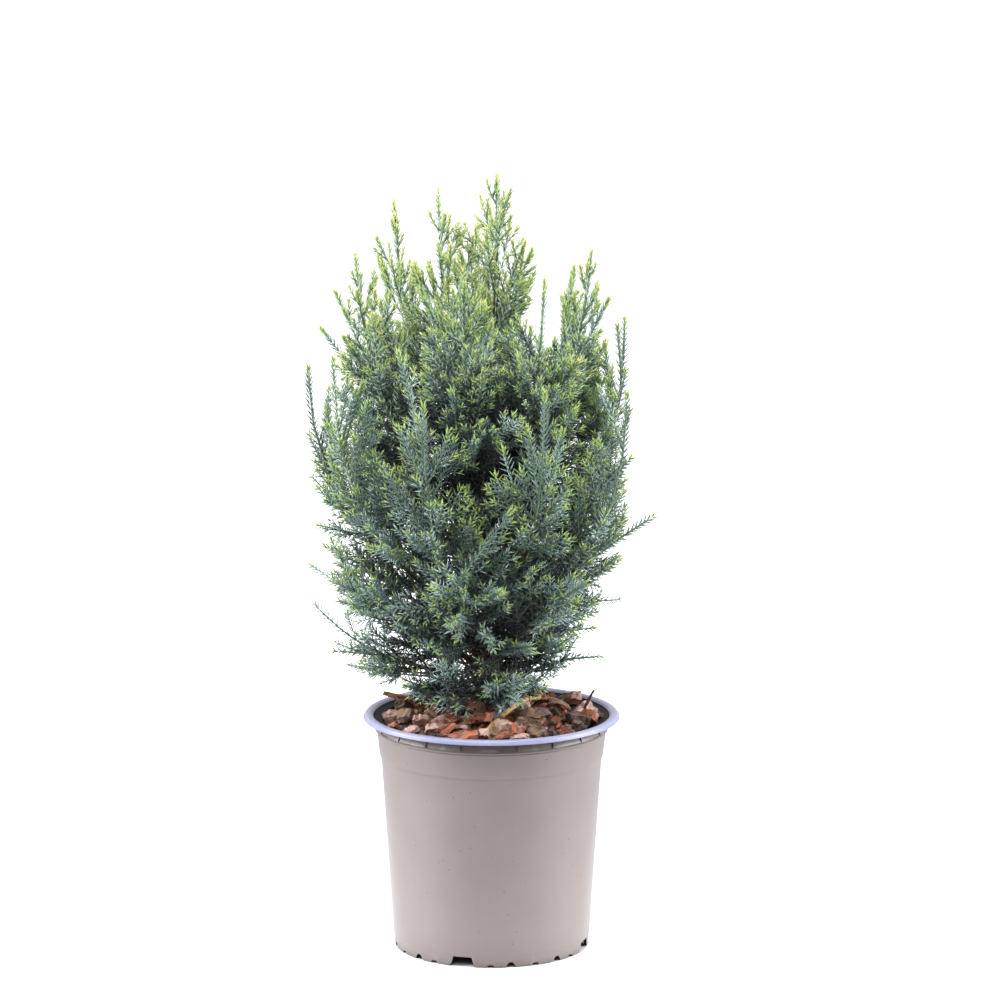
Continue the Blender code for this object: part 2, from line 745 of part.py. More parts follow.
class Mass:
    # One mass of foliage: side shoots that grow from one stem by a seeded rule.
    def __init__(self, leader, space, rng):
        self.leader = leader
        self.space = space
        self.rng = rng

    def fit(self, crest, valley):
        crest = valley + (crest - valley) * self.rng.uniform(0.82, 1.18)
        while not self.space.holds([crest], self.leader.name):
            crest = valley + (crest - valley) * 0.86
            if (crest - valley).length < 0.0006:
                return valley
        return crest

    def stem(self):
        # Stem and core in one: a thin foot at the limb, a body that thins to the leader's tip.
        leader = self.leader
        foot_radius = min(BOUGH_TIP_RADIUS, leader.root_radius)
        first = leader.bare + CLEAR / leader.length
        while leader.leaves_bark:
            if self.space.limb_room(ring_round(leader, first, foot_radius)).min() >= CLEAR:
                break
            first += 0.0002 / leader.length
        ts = [first, first + 0.0001]
        ts += list(np.linspace(first + 0.0045 / leader.length, 0.95, STEM_RINGS - 1))
        axis = [leader.at(float(t)) for t in ts] + [leader.tip]
        room = 0.45 * self.space.neighbour_distance(axis, leader.name)
        limb_room = self.space.limb_room(axis) - LIMB_MARGIN
        valleys = [foot_radius] * 3
        crests = [foot_radius] * 3
        for index in range(3, len(axis)):
            share = (index - 2) / (len(axis) - 3)
            body = math.sin(math.pi * min(1.0, 0.25 + 0.75 * share))
            valley = 0.0009 + STEM_VALLEY * body
            valley = min(valley, float(room[index]), float(limb_room[index]))
            valleys.append(max(valley, 0.0007))
            crests.append(valleys[-1] + STEM_CREST * (0.22 + 0.78 * body))
        return star_loft(axis, valleys, crests, self.rng.uniform(0.0, math.pi), self.fit)

    def side_shoots(self):
        # The shoots stand to the left and right of the stem in turn, so that the mass faces outwards.
        leader = self.leader
        rng = self.rng
        hand = rng.choice((-1.0, 1.0))
        shapes = []
        for index in range(leader.side_shoots):
            hand = -hand
            lowest = LOWEST_SHOOT if leader.bough else TRUNK_SIDE_SHOOT
            up = lowest + (HIGHEST_SHOOT - lowest) * index / (leader.side_shoots - 1)
            t = leader.bare + (1.0 - leader.bare) * up
            direction = leader.direction(t)
            origin = leader.at(t)
            outward = Vector((origin.x, origin.y, 0.0)) + polar(0.01, math.degrees(index), 0.0)
            across = direction.cross(outward).normalized() * hand
            reach = leader.half_width * (LOW_REACH + (HIGH_REACH - LOW_REACH) * up)
            for attempt in range(5):
                fan = math.radians(rng.uniform(-0.3, 1.0) * FAN_TURN + 25.0 * attempt)
                mean_pitch = LOW_PITCH + (HIGH_PITCH - LOW_PITCH) * up
                pitch = math.radians(mean_pitch + rng.uniform(-PITCH_SPREAD, PITCH_SPREAD))
                side = across * math.cos(fan) + across.cross(direction) * (hand * math.sin(fan))
                heading = direction * math.cos(pitch) + side * math.sin(pitch)
                shape = self.side_shoot(origin, heading, reach)
                if shape:
                    shapes.append(shape)
                    break
        return shapes

    def side_shoot(self, origin, heading, reach):
        lift = Vector((0.0, 0.0, SHOOT_LIFT))
        while True:
            middle = origin + heading * (0.55 * reach)
            tip = origin + (heading + lift) * reach
            if self.space.holds([middle, 0.5 * (middle + tip), tip], self.leader.name):
                break
            reach *= 0.88
            if reach < 0.5 * self.leader.half_width:
                return None
        course = bend(origin, middle, tip, 101)
        axis = [origin - heading * ROOT_DEPTH]
        valleys = [0.0]
        crests = [0.0]
        for ring in range(SHOOT_RINGS):
            share = SHOOT_FIRST_RING + (0.90 - SHOOT_FIRST_RING) * ring / (SHOOT_RINGS - 1)
            body = math.sin(math.pi * (0.30 + 0.58 * share))
            axis.append(course[round(100 * share)])
            valleys.append(0.0004 + SHOOT_VALLEY * body)
            crests.append(valleys[-1] + SHOOT_CREST * body)
        axis.append(tip)
        valleys.append(0.0)
        crests.append(0.0)
        shape = star_loft(axis, valleys, crests, self.rng.uniform(0.0, math.pi), self.fit)
        if self.space.holds([vert.co for vert in shape.verts], self.leader.name):
            return shape
        shape.free()
        return None


def build_mass(leader, space, plant, material):
    kept_share = 1.0
    for attempt, solver in enumerate(("EXACT", "MANIFOLD", "EXACT", "MANIFOLD")):
        mass = Mass(leader, space, random.Random(f"{SEED} {leader.name}"))
        body = add_object(f"foliage_{leader.name}", mesh_from_bmesh(mass.stem(), leader.name), plant)
        pieces = bpy.data.collections.new("shoots")
        bpy.context.scene.collection.children.link(pieces)
        shapes = mass.side_shoots()
        keep = math.ceil(len(shapes) * kept_share)
        for index, shape in enumerate(shapes):
            mesh = mesh_from_bmesh(shape, "shoot")
            if index < keep:
                add_object(f"shoot_{index}", mesh, pieces)
        fuse_collection(body, pieces, solver)
        if keep_largest_body(body.data):
            body.data.materials.clear()
            body.data.materials.append(material)
            return body
        bpy.data.objects.remove(body, do_unlink=True)
        if attempt == 1:
            kept_share = 0.75
    raise RuntimeError(f"foliage_{leader.name} isn't closed")


def build_boughs(leaders, plant, cutter):
    material = make_material("bark", (0.16, 0.09, 0.06), 0.85)
    for leader in leaders:
        if not leader.bough:
            continue
        mesh = limb_mesh(f"bough_{leader.name}", leader.bough, leader.bough_radii, 1)
        bough = add_object(f"bough_{leader.name}", mesh, plant, material)
        add_boolean(bough, cutter, "DIFFERENCE")
        settle_modifiers(bough)
        keep_largest_body(bough.data)


def main():
    plant, guides = reset_scene()
    build_pot(plant, guides)
    build_compost(plant)
    build_mulch(plant, guides, FLARE_RADIUS + TRUNK_ROOM)
    trunk_bark = make_material("trunk", (0.17, 0.10, 0.07), 0.85)
    trunk = add_object("trunk", trunk_shape("trunk", 0.0), plant, trunk_bark)
    trunk.data.shade_smooth()
    cutter = add_object("trunk_cutter", trunk_shape("trunk_cutter", CLEAR), guides)
    mark_as_cutter(cutter)
    leaders = build_leaders()
    build_boughs(leaders, plant, cutter)
    space = Space(leaders)
    foliage = make_material("foliage", (0.10, 0.20, 0.13), 0.7)
    for leader in leaders:
        build_mass(leader, space, plant, foliage)


main()
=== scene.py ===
import math
import random

import bpy
import numpy as np
from mathutils import Matrix, Vector


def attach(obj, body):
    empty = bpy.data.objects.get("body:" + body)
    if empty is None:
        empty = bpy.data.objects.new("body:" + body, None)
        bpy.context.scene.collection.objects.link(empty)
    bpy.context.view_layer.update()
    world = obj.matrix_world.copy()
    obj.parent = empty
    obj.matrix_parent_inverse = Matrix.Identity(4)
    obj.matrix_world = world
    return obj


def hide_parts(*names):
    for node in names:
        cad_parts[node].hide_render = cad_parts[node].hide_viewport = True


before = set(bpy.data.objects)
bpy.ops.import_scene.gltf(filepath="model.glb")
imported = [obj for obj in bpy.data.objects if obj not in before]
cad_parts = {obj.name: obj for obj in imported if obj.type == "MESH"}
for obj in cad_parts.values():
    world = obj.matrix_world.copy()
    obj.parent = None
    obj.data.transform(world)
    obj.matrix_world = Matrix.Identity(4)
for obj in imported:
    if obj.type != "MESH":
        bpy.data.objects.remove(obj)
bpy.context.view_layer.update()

# A young false cypress with many leaders, in a taupe nursery pot topped with bark chips.
# Metres, +Z up, the front faces -Y. Azimuths are in degrees from +X towards +Y.

seed = 16
goldenAngle = 137.508
clear = 0.0003
mm = 0.001


# Helpers

def pick(*pieces):
    # Selects these pieces alone, the first one active, or nothing at all.
    if bpy.context.object and bpy.context.object.mode != "OBJECT":
        bpy.ops.object.mode_set(mode="OBJECT")
    bpy.ops.object.select_all(action="DESELECT")
    for piece in pieces:
        piece.select_set(True)
        bpy.context.view_layer.objects.active = pieces[0]


def newest(name):
    piece = bpy.context.object
    piece.name = name
    piece.data.name = name
    return piece


def settle(piece):
    # Bakes the object's place, turn and scale into its mesh.
    pick(piece)
    bpy.ops.object.transform_apply(location=True, rotation=True, scale=True)


def newPiece(name, addPrimitive, **sizes):
    pick()
    addPrimitive(**sizes)
    piece = newest(name)
    settle(piece)
    return piece


def newDisc(name, sides, radius, place, turn=(0, 0, 0)):
    return newPiece(name, bpy.ops.mesh.primitive_circle_add, vertices=sides, radius=radius, location=place,
                    rotation=turn, fill_type="NGON")


def linked(name, mesh):
    piece = bpy.data.objects.new(name, mesh)
    bpy.context.scene.collection.objects.link(piece)
    return piece


def edit(piece, action="SELECT"):
    # Opens the piece in edit mode with all its faces selected, or none.
    pick(piece)
    bpy.ops.object.mode_set(mode="EDIT")
    bpy.ops.mesh.select_mode(type="FACE")
    bpy.ops.mesh.select_all(action=action)


def editFaces(piece, wanted):
    # Opens the piece with those faces selected whose centre and normal the test wants.
    edit(piece, "DESELECT")
    bpy.ops.object.mode_set(mode="OBJECT")
    for face in piece.data.polygons:
        face.select = bool(wanted(face.center, face.normal))
    bpy.ops.object.mode_set(mode="EDIT")


def endEdit(outwards=False):
    if outwards:
        bpy.ops.mesh.select_all(action="SELECT")
        bpy.ops.mesh.normals_make_consistent(inside=False)
    bpy.ops.object.mode_set(mode="OBJECT")


def extrudeRows(rows, axes):
    # Carries the selected face up through rows of size and height. The size acts along these axes.
    for (size, height), (nextSize, nextHeight) in zip(rows, rows[1:]):
        bpy.ops.mesh.extrude_region_move(TRANSFORM_OT_translate={"value": (0, 0, nextHeight - height)})
        growth = [nextSize / size if axis in axes else 1.0 for axis in "xyz"]
        bpy.ops.transform.resize(value=growth, center_override=(0, 0, nextHeight))


def modify(piece, kind, **settings):
    # Adds a modifier and applies it at once.
    pick(piece)
    modifier = piece.modifiers.new(kind.lower(), kind)
    for key, value in settings.items():
        setattr(modifier, key, value)
    bpy.ops.object.modifier_apply(modifier=modifier.name)


def roughen(piece, strength, scale, depth=4):
    texture = bpy.data.textures.new("barkRelief", "CLOUDS")
    texture.noise_scale = scale
    texture.noise_depth = depth
    modify(piece, "DISPLACE", texture=texture, texture_coords="LOCAL", strength=strength, mid_level=0.5)


def joinPieces(name, pieces):
    pick(*pieces)
    if len(pieces) > 1:
        bpy.ops.object.join()
    return newest(name)


def finished(piece, slot, *nodes):
    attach(piece, "root")
    if nodes:
        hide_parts(*nodes)


def nodesNamed(start):
    return [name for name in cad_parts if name.startswith(start)]


def polar(radius, azimuth, height):
    angle = math.radians(azimuth)
    return Vector((radius * math.cos(angle), radius * math.sin(angle), height))


def azimuthOf(place):
    return math.degrees(math.atan2(place[1], place[0])) % 360.0


def paint(piece, *materials):
    piece.data.materials.clear()
    for material in materials:
        piece.data.materials.append(material)


# Shader helpers

def feed(node, sockets):
    # Each input takes a value or another node's output.
    for key, value in sockets.items():
        if isinstance(value, bpy.types.NodeSocket):
            node.id_data.links.new(value, node.inputs[key])
        else:
            node.inputs[key].default_value = value


def addNode(tree, kind, sockets=None, **settings):
    node = tree.nodes.new(f"ShaderNode{kind}")
    node.location = (180 * len(tree.nodes) - 1800, 300)
    for key, value in settings.items():
        setattr(node, key, value)
    feed(node, sockets or {})
    return node


def mathOf(tree, operation, first, second, **settings):
    return addNode(tree, "Math", {0: first, 1: second}, operation=operation, **settings).outputs[0]


def rangeOf(tree, value, source=(0.0, 1.0), target=(0.0, 1.0), **settings):
    sockets = {"Value": value, "From Min": source[0], "From Max": source[1]}
    sockets.update({"To Min": target[0], "To Max": target[1]})
    return addNode(tree, "MapRange", sockets, **settings).outputs["Result"]


def noiseOf(tree, vector, scale, detail, roughness=0.5):
    sockets = {"Vector": vector, "Scale": scale, "Detail": detail, "Roughness": roughness}
    return addNode(tree, "TexNoise", sockets).outputs["Fac"]


def mixOf(tree, share, first, second):
    return addNode(tree, "Mix", {0: share, 6: first, 7: second}, data_type="RGBA").outputs[2]


def rampOf(tree, value, stops):
    node = addNode(tree, "ValToRGB", {"Fac": value})
    while len(node.color_ramp.elements) < len(stops):
        node.color_ramp.elements.new(0.5)
    for element, (position, colour) in zip(node.color_ramp.elements, stops):
        element.position = position
        element.color = (*colour, 1.0)
    return node.outputs["Color"]


def newMaterial(name, colour, roughness, sockets=None):
    material = bpy.data.materials.new(name)
    material.use_nodes = True
    shader = material.node_tree.nodes["Principled BSDF"]
    feed(shader, {"Base Color": (*colour, 1.0), "Roughness": roughness, **(sockets or {})})
    return material, material.node_tree, shader


def bumpOf(tree, height, strength, distance):
    sockets = {"Strength": strength, "Distance": distance, "Height": height}
    return addNode(tree, "Bump", sockets).outputs["Normal"]


def newGroup(name, values, results):
    group = bpy.data.node_groups.new(name, "ShaderNodeTree")
    group.interface.new_socket(name="Vector", in_out="INPUT", socket_type="NodeSocketVector")
    for key, value in values.items():
        socket = group.interface.new_socket(name=key, in_out="INPUT", socket_type="NodeSocketFloat")
        socket.default_value = value
    for key in results:
        group.interface.new_socket(name=key, in_out="OUTPUT", socket_type="NodeSocketFloat")
    return group, group.nodes.new("NodeGroupInput").outputs, group.nodes.new("NodeGroupOutput")


def makeFleckGroup():
    # Scattered flecks and soft mottling: masks for colour, and a height for the bump.
    group, given, end = newGroup("flecks", {"fleckScale": 900.0, "fleckShare": 0.2, "mottleScale": 60.0},
                                 ("Flecks", "Mottle", "Height"))
    cells = addNode(group, "TexVoronoi", {"Vector": given["Vector"], "Scale": given["fleckScale"]}).outputs
    lottery = addNode(group, "SeparateColor", {"Color": cells["Color"]}).outputs["Red"]
    spot = mathOf(group, "LESS_THAN", cells["Distance"], 0.32)
    drawn = mathOf(group, "LESS_THAN", lottery, given["fleckShare"])
    feed(end, {
        "Flecks": mathOf(group, "MULTIPLY", spot, drawn),
        "Mottle": noiseOf(group, given["Vector"], given["mottleScale"], 4.0, 0.55),
        "Height": noiseOf(group, given["Vector"], given["fleckScale"], 2.0),
    })
    return group


def makeBarkGroup():
    # Fibrous bark: long streaks along the vector's X, cross cracks and flaking patches.
    group, given, end = newGroup("barkGrain", {"fibreScale": 30.0, "patchScale": 6.0, "stretch": 0.12},
                                 ("Fibres", "Patches", "Height"))
    stretch = addNode(group, "CombineXYZ", {"X": given["stretch"], "Y": 1.0, "Z": 1.0}).outputs[0]
    stretched = addNode(group, "VectorMath", {0: given["Vector"], 1: stretch}, operation="MULTIPLY")
    fibres = noiseOf(group, stretched.outputs[0], given["fibreScale"], 6.0, 0.65)
    cells = addNode(group, "TexVoronoi", {"Vector": given["Vector"], "Scale": given["patchScale"]},
                    feature="DISTANCE_TO_EDGE").outputs["Distance"]
    feed(end, {
        "Fibres": fibres,
        "Patches": noiseOf(group, given["Vector"], given["patchScale"], 3.0, 0.6),
        "Height": mathOf(group, "MULTIPLY", fibres, rangeOf(group, cells, (0.0, 0.12))),
    })
    return group


fleckGroup = makeFleckGroup()
barkGroup = makeBarkGroup()


def grainOf(tree, group, vector, **values):
    return addNode(tree, "Group", {"Vector": vector, **values}, node_tree=group).outputs


def objectPlace(tree):
    return addNode(tree, "TexCoord").outputs["Object"]


# Camera, light and floor

studio = {
    "cameraPlace": (0.0043, -2.6, 0.72),
    "pitch": 10.68,                 # degrees that the camera looks down
    "lens": 189.5,
    "sensor": 36.0,
    "backdrop": 1.06,               # how bright the room looks behind the floor
    "ambient": (0.12, 0.94),        # how bright the tent is: its open front, its sides and back
    "frontReach": (-0.85, 0.15),    # the room's Y directions between which it turns from one to the other
    "floorSize": 24.0,
    "floorColour": ((0.24, 0.24, 0.25), (0.8, 0.8, 0.81)),    # for the light it throws back, and as seen
    "floorGlow": (1.1, 0.62),       # the same
    "glowReach": (0.1, 0.42),       # where the thrown glow starts to fade and where it ends
    "paintedShadowEdge": (0.0495, 0.052),    # under the pot the floor is dark: a painted shadow, with no glow there
    "lightColour": (0.95, 0.965, 1.0),
    "lights": (                     # name, place, size, power, aimed at this height
        ("topPanel", (-0.12, -0.42, 1.5), 1.0, 25.0, 0.2),
        ("frontPanel", (-0.1, -2.05, 1.6), 1.0, 16.0, 0.15),
        ("leftPanel", (-1.5, -0.14, 0.62), 1.1, 39.0, 0.14),
        ("rightPanel", (1.5, -0.1, 0.62), 1.1, 39.0, 0.14),
    ),
}


def isSeen(tree):
    return addNode(tree, "LightPath").outputs["Is Camera Ray"]


def buildStudio():
    bpy.context.scene.view_settings.view_transform = "Standard"
    pick()
    bpy.ops.object.camera_add(location=studio["cameraPlace"],
                              rotation=(math.radians(90.0 - studio["pitch"]), 0.0, 0.0))
    camera = newest("photoCamera")
    camera.data.lens = studio["lens"]
    camera.data.sensor_width = studio["sensor"]
    bpy.context.scene.camera = camera

    world = bpy.data.worlds.new("whiteRoom")
    world.use_nodes = True
    tree = world.node_tree
    direction = addNode(tree, "TexCoord").outputs["Generated"]
    front = addNode(tree, "SeparateXYZ", {"Vector": direction}).outputs["Y"]
    tent = rangeOf(tree, front, studio["frontReach"], studio["ambient"], interpolation_type="SMOOTHSTEP")
    strength = rangeOf(tree, isSeen(tree), (0.0, 1.0), (tent, studio["backdrop"]))
    feed(tree.nodes["Background"], {"Color": (1.0, 1.0, 1.0, 1.0), "Strength": strength})
    bpy.context.scene.world = world

    for name, place, size, power, aim in studio["lights"]:
        pick()
        bpy.ops.object.light_add(type="AREA", location=place)
        lamp = newest(name)
        lamp.data.size = size
        lamp.data.energy = power
        lamp.data.color = studio["lightColour"]
        lamp.visible_camera = False
        lamp.rotation_euler = (Vector((0.0, 0.0, aim)) - Vector(place)).to_track_quat("-Z", "Y").to_euler()

    floor = newPiece("studioFloor", bpy.ops.mesh.primitive_plane_add, size=studio["floorSize"])
    thrown, shown = studio["floorColour"]
    thrownGlow, shownGlow = studio["floorGlow"]
    material, tree, shader = newMaterial("whiteFloor", shown, 0.6, {"Emission Color": (1.0, 1.0, 1.0, 1.0)})
    level = addNode(tree, "VectorMath", {0: objectPlace(tree), 1: (1.0, 1.0, 0.0)}, operation="MULTIPLY")
    distance = addNode(tree, "VectorMath", {0: level.outputs[0]}, operation="LENGTH").outputs["Value"]
    # Painted shadow: the floor's glow is masked out under the pot.
    paintedShadowMask = rangeOf(tree, distance, studio["paintedShadowEdge"])
    fade = rangeOf(tree, distance, studio["glowReach"], (thrownGlow, 0.0))
    seen = isSeen(tree)
    glow = rangeOf(tree, seen, (0.0, 1.0), (fade, shownGlow))
    feed(shader, {
        "Emission Strength": mathOf(tree, "MULTIPLY", paintedShadowMask, glow),
        "Base Color": mixOf(tree, seen, (*thrown, 1.0), (*shown, 1.0)),
    })
    paint(floor, material)
    print("studio ready")


# Pot: a taupe outside, a dark inside and a pale lip, with painted shade under the lip

pot = {
    "sides": 152,
    "firstSide": 1.2,               # azimuth of the first side's edge, so that the panels end on edges
    "standing": 0.0,
    "height": 0.1205,
    "lipRadius": 0.065,
    "lipBottom": 0.1179,
    "mouthRadius": 0.0597,
    "collarRadius": 0.0583,
    "collarBottom": 0.1126,
    "bandTopRadius": 0.058,
    "bandTop": 0.1112,
    "bandBottom": 0.0988,
    "bandBottomRadius": 0.0567,
    "bodyTopRadius": 0.056,
    "footHeight": 0.0062,
    "footTopRadius": 0.0499,
    "footRadius": 0.0489,
    "wall": 0.0012,
    "floorBottom": 0.0048,
    "floorTop": 0.0062,
    "padRadius": 0.011,
    "middle": 0.0005,               # radius where the floor closes
    "panels": 19,                   # sunk ones, with as many proud ones between them
    "panelTurn": 13.04,             # azimuth of the middle of the first
    "panelDepth": 0.0006,
    "holes": (8, 0.0045, 0.035),    # count, radius and the radius of their circle
    "cutDepth": 0.012,              # of a notch's cutter, through the wall
    "soften": 0.00014,              # the width of the bevel on all its edges
    "bigNotch": 251.8,              # azimuth of the first big notch
    "notches": (                    # one quarter: degrees from the big notch, kind, width, height
        (0.9, "block", 0.0118, 0.0052),
        (17.8, "block", 0.0036, 0.0014),
        (29.7, "arch", 0.0046, 0.0029),
        (45.0, "block", 0.0036, 0.0014),
        (60.3, "arch", 0.0046, 0.0029),
        (72.2, "block", 0.0036, 0.0014),
    ),
    "plastics": (                   # name, colour, its darker mottling, flecks, roughness, share of flecks
        ("taupePlastic", (0.226, 0.191, 0.177), (0.212, 0.179, 0.166), (0.11, 0.085, 0.08), 0.36, 0.006,
         {"Sheen Weight": 0.3, "Sheen Roughness": 0.3, "Sheen Tint": (0.8, 0.8, 1.0, 1.0)}),
        ("paleLip", (0.272, 0.277, 0.415), (0.25296, 0.25761, 0.38595), (0.2176, 0.2216, 0.332),
         0.3, 0.01, {}),
        ("darkInsideAndUnderLipShade", (0.02, 0.015, 0.018), (0.014, 0.0105, 0.0126), (0.032, 0.024, 0.0288), 0.6, 0.1,
         {"Specular IOR Level": 0.12}),
    ),
}


def innerRadius(height):
    share = (height - pot["footHeight"]) / (pot["bandBottom"] - pot["footHeight"])
    return pot["footTopRadius"] + share * (pot["bodyTopRadius"] - pot["footTopRadius"]) - pot["wall"]


def potRows():
    # The wall's outline from the pad under the floor, up outside, over the lip and down inside.
    def near(radius, height, *steps):
        return [(pot[radius] + out * mm, pot[height] + up * mm) for out, up in steps]

    def between(low, high, count):
        (radius, height), (nextRadius, nextHeight) = low, high
        shares = [step / (count + 1) for step in range(1, count + 1)]
        return [(radius + share * (nextRadius - radius), height + share * (nextHeight - height))
                for share in shares]

    wall = pot["wall"] / mm
    rows = near("middle", "standing", (0, 0)) + near("padRadius", "standing", (0, 0))
    rows += near("padRadius", "floorBottom", (0, 0)) + near("footRadius", "floorBottom", (-wall, 0))
    rows += near("footRadius", "standing", (-wall, 0), (0, 0), (0.2, 0.3))
    rows += near("footTopRadius", "footHeight", (-0.5, -0.6), (-0.2, -0.1), (0, 0.2))
    rows += between((pot["footTopRadius"], pot["footHeight"]), (pot["bodyTopRadius"], pot["bandBottom"]), 8)
    rows += near("bodyTopRadius", "bandBottom", (0, -0.4), (0.1, -0.1))
    rows += near("bandBottomRadius", "bandBottom", (-0.1, 0.1), (0, 0.4))
    rows += between((pot["bandBottomRadius"], pot["bandBottom"]), (pot["bandTopRadius"], pot["bandTop"]), 3)
    rows += near("bandTopRadius", "bandTop", (0, 0), (-0.3, 0.4), (0.8, 0.7), (1.1, 1), (1.1, 1.4),
                 (0.8, 1.7))
    rows += near("collarRadius", "collarBottom", (0.1, 0.7), (0, 1), (-0.8, 2.8))
    rows += near("collarRadius", "lipBottom", (-1.8, -1.2), (-1.9, -0.7), (-1.2, -0.2))
    rows += near("lipRadius", "lipBottom", (-0.6, 0), (-0.2, 0.2), (0, 0.6), (-0.1, 1), (-0.5, 1.2),
                 (-0.6, 1.5))
    rows += near("lipRadius", "height", (-0.9, -0.5), (-1.5, -0.15), (-2.4, 0))
    rows += near("mouthRadius", "height", (2.2, -0.05), (1.2, -0.2), (0.4, -0.6), (0, -1.3))
    rows += near("mouthRadius", "lipBottom", (-0.4, 0.6))
    rows += near("collarRadius", "lipBottom", (-1.9 - wall, 0), (-1.9 - wall, -1.4))
    rows += near("collarRadius", "collarBottom", (-wall, 0.4))
    rows += [(innerRadius(pot[height]), pot[height]) for height in ("bandBottom", "floorTop")]
    return rows + near("middle", "floorTop", (0, 0))


def notchCutter(kind, width, height, azimuth):
    # A notch widens towards the foot's edge, and its corners there are well rounded.
    if kind == "arch":
        shares = [(math.cos(angle), math.sin(angle)) for angle in (1.45, 1.25, 1.0, 0.7, 0.4)]
    else:
        shares = [(0.78, 1.0), (0.83, 0.94), (0.92, 0.55)]
    shares += [(1.02, 0.25), (1.14, 0.1)]
    rows = [(width * wide, height * high) for wide, high in shares] + [(1.45 * width, -0.0004)]
    cutter = newPiece("notchCutter", bpy.ops.mesh.primitive_plane_add, size=1, location=(0, 0, rows[0][1]))
    edit(cutter)
    bpy.ops.transform.resize(value=(pot["cutDepth"], rows[0][0], 1))
    extrudeRows(rows, "y")
    endEdit(outwards=True)
    cutter.rotation_euler = (0, 0, math.radians(azimuth))
    cutter.location = polar(pot["footRadius"], azimuth, 0)
    settle(cutter)
    return cutter


def potPlastic(name, colour, darker, fleckColour, roughness, fleckShare, sockets):
    material, tree, shader = newMaterial(name, colour, roughness, sockets)
    flecks = grainOf(tree, fleckGroup, objectPlace(tree), fleckScale=950.0, fleckShare=fleckShare,
                     mottleScale=45.0)
    mottle = rampOf(tree, flecks["Mottle"], ((0.32, darker), (0.66, colour)))
    feed(shader, {
        "Base Color": mixOf(tree, flecks["Flecks"], mottle, (*fleckColour, 1.0)),
        "Roughness": rangeOf(tree, flecks["Mottle"], (0.0, 1.0), (roughness - 0.06, roughness + 0.08)),
        "Normal": bumpOf(tree, flecks["Height"], 0.1, 0.0002),
    })
    return material


def potCuts():
    cutters = []
    for quarter in range(4):
        for turn, kind, width, height in pot["notches"]:
            cutters.append(notchCutter(kind, width, height, pot["bigNotch"] + 90.0 * quarter + turn))
    count, radius, circle = pot["holes"]
    for index in range(count):
        place = polar(circle, (index + 0.5) * 360.0 / count, pot["floorTop"])
        cutters.append(newPiece("drainCutter", bpy.ops.mesh.primitive_cylinder_add,
                                vertices=24, radius=radius, depth=0.008, location=place))
    return joinPieces("potCuts", cutters)


def buildPot():
    # Turned as on a lathe: a disc is carried up through the rows, and both ends stay closed.
    rows = potRows()
    turn = (0, 0, math.radians(pot["firstSide"]))
    shell = newDisc("nurseryPot", pot["sides"], rows[0][0], (0, 0, rows[0][1]), turn)
    edit(shell)
    extrudeRows(rows, "xy")
    endEdit(outwards=True)
    pitch = 360.0 / pot["panels"]

    def onPanel(centre, normal):
        turn = (azimuthOf(centre) - pot["panelTurn"] + 0.5 * pitch) % pitch - 0.5 * pitch
        radius = math.hypot(centre.x, centre.y)
        inCollar = pot["collarBottom"] + 0.0008 < centre.z < pot["lipBottom"] - 0.001
        return inCollar and radius > pot["collarRadius"] - 0.002 and abs(turn) < 0.25 * pitch

    editFaces(shell, onPanel)
    bpy.ops.mesh.extrude_region_shrink_fatten(TRANSFORM_OT_shrink_fatten={"value": -pot["panelDepth"]})
    endEdit()
    cuts = potCuts()
    modify(shell, "BOOLEAN", operation="DIFFERENCE", object=cuts, solver="EXACT")
    modify(shell, "BEVEL", width=pot["soften"], segments=2, limit_method="ANGLE",
           angle_limit=math.radians(50))
    bpy.data.objects.remove(cuts, do_unlink=True)
    pick(shell)
    bpy.ops.object.shade_smooth_by_angle(angle=math.radians(35))

    paint(shell, *[potPlastic(*plastic) for plastic in pot["plastics"]])
    for face in shell.data.polygons:
        radius, height, down = math.hypot(face.center.x, face.center.y), face.center.z, face.normal.z
        inwards = face.normal.x * face.center.x + face.normal.y * face.center.y <= 0
        if height > pot["lipBottom"] - 0.0003 and radius > pot["mouthRadius"] - 0.0001:
            # Painted shade: the lip's underside and the recess under it take the dark inside plastic.
            underLipShade = down < -0.8 or (radius < pot["collarRadius"] + 0.0006 and down < 0)
            face.material_index = 2 if underLipShade else 1
        elif height > pot["floorTop"] - 0.0001 and inwards and radius < pot["mouthRadius"]:
            face.material_index = 2
        # Under the floor, the foot's inner wall and the floor's underside are dark as well.
        elif height < pot["floorTop"] and (inwards or down < -0.5) and radius < pot["footRadius"] - 0.0004:
            face.material_index = 2
    finished(shell, "pot", "pot")
    print("pot ready,", len(shell.data.polygons), "faces")


# Plant: the same rule of growth as the solids, carried on to finer twigs and needles

trunk = {
    "foot": (-0.004, 0.001),
    "tip": (0.0012, 0.0),
    "bottom": 0.106,
    "top": 0.302,
    "radius": 0.0046,
    "tipRadius": 0.0015,
    "flareRadius": 0.0072,
    "flareHeight": 0.014,
    "sway": 0.0016,                 # how far the stem swings from side to side
    "rings": 44,
    "sides": 14,
}

crown = {
    "halfWidths": (                 # height, towards -X, towards +X
        (0.12, 0.034, 0.024),
        (0.14, 0.065, 0.034),
        (0.158, 0.074, 0.045),
        (0.176, 0.083, 0.056),
        (0.221, 0.089, 0.072),
        (0.262, 0.089, 0.067),
        (0.29, 0.086, 0.064),
        (0.308, 0.079, 0.06),
        (0.32, 0.077, 0.058),
        (0.345, 0.074, 0.053),
        (0.394, 0.06, 0.046),
    ),
    "floor": 0.1225,
    "sideUndercut": 0.28,
    "frontUndercut": 0.16,
    "hollow": (253.0, 20.0, 0.008),     # in front: azimuth, half a width, height over the underside
    "forkRoom": 0.007,              # between the trunk and where a leader's foliage starts
    "trunkRoom": 0.0015,            # between the trunk and a shoot
    "boughTipRadius": 0.0012,
}

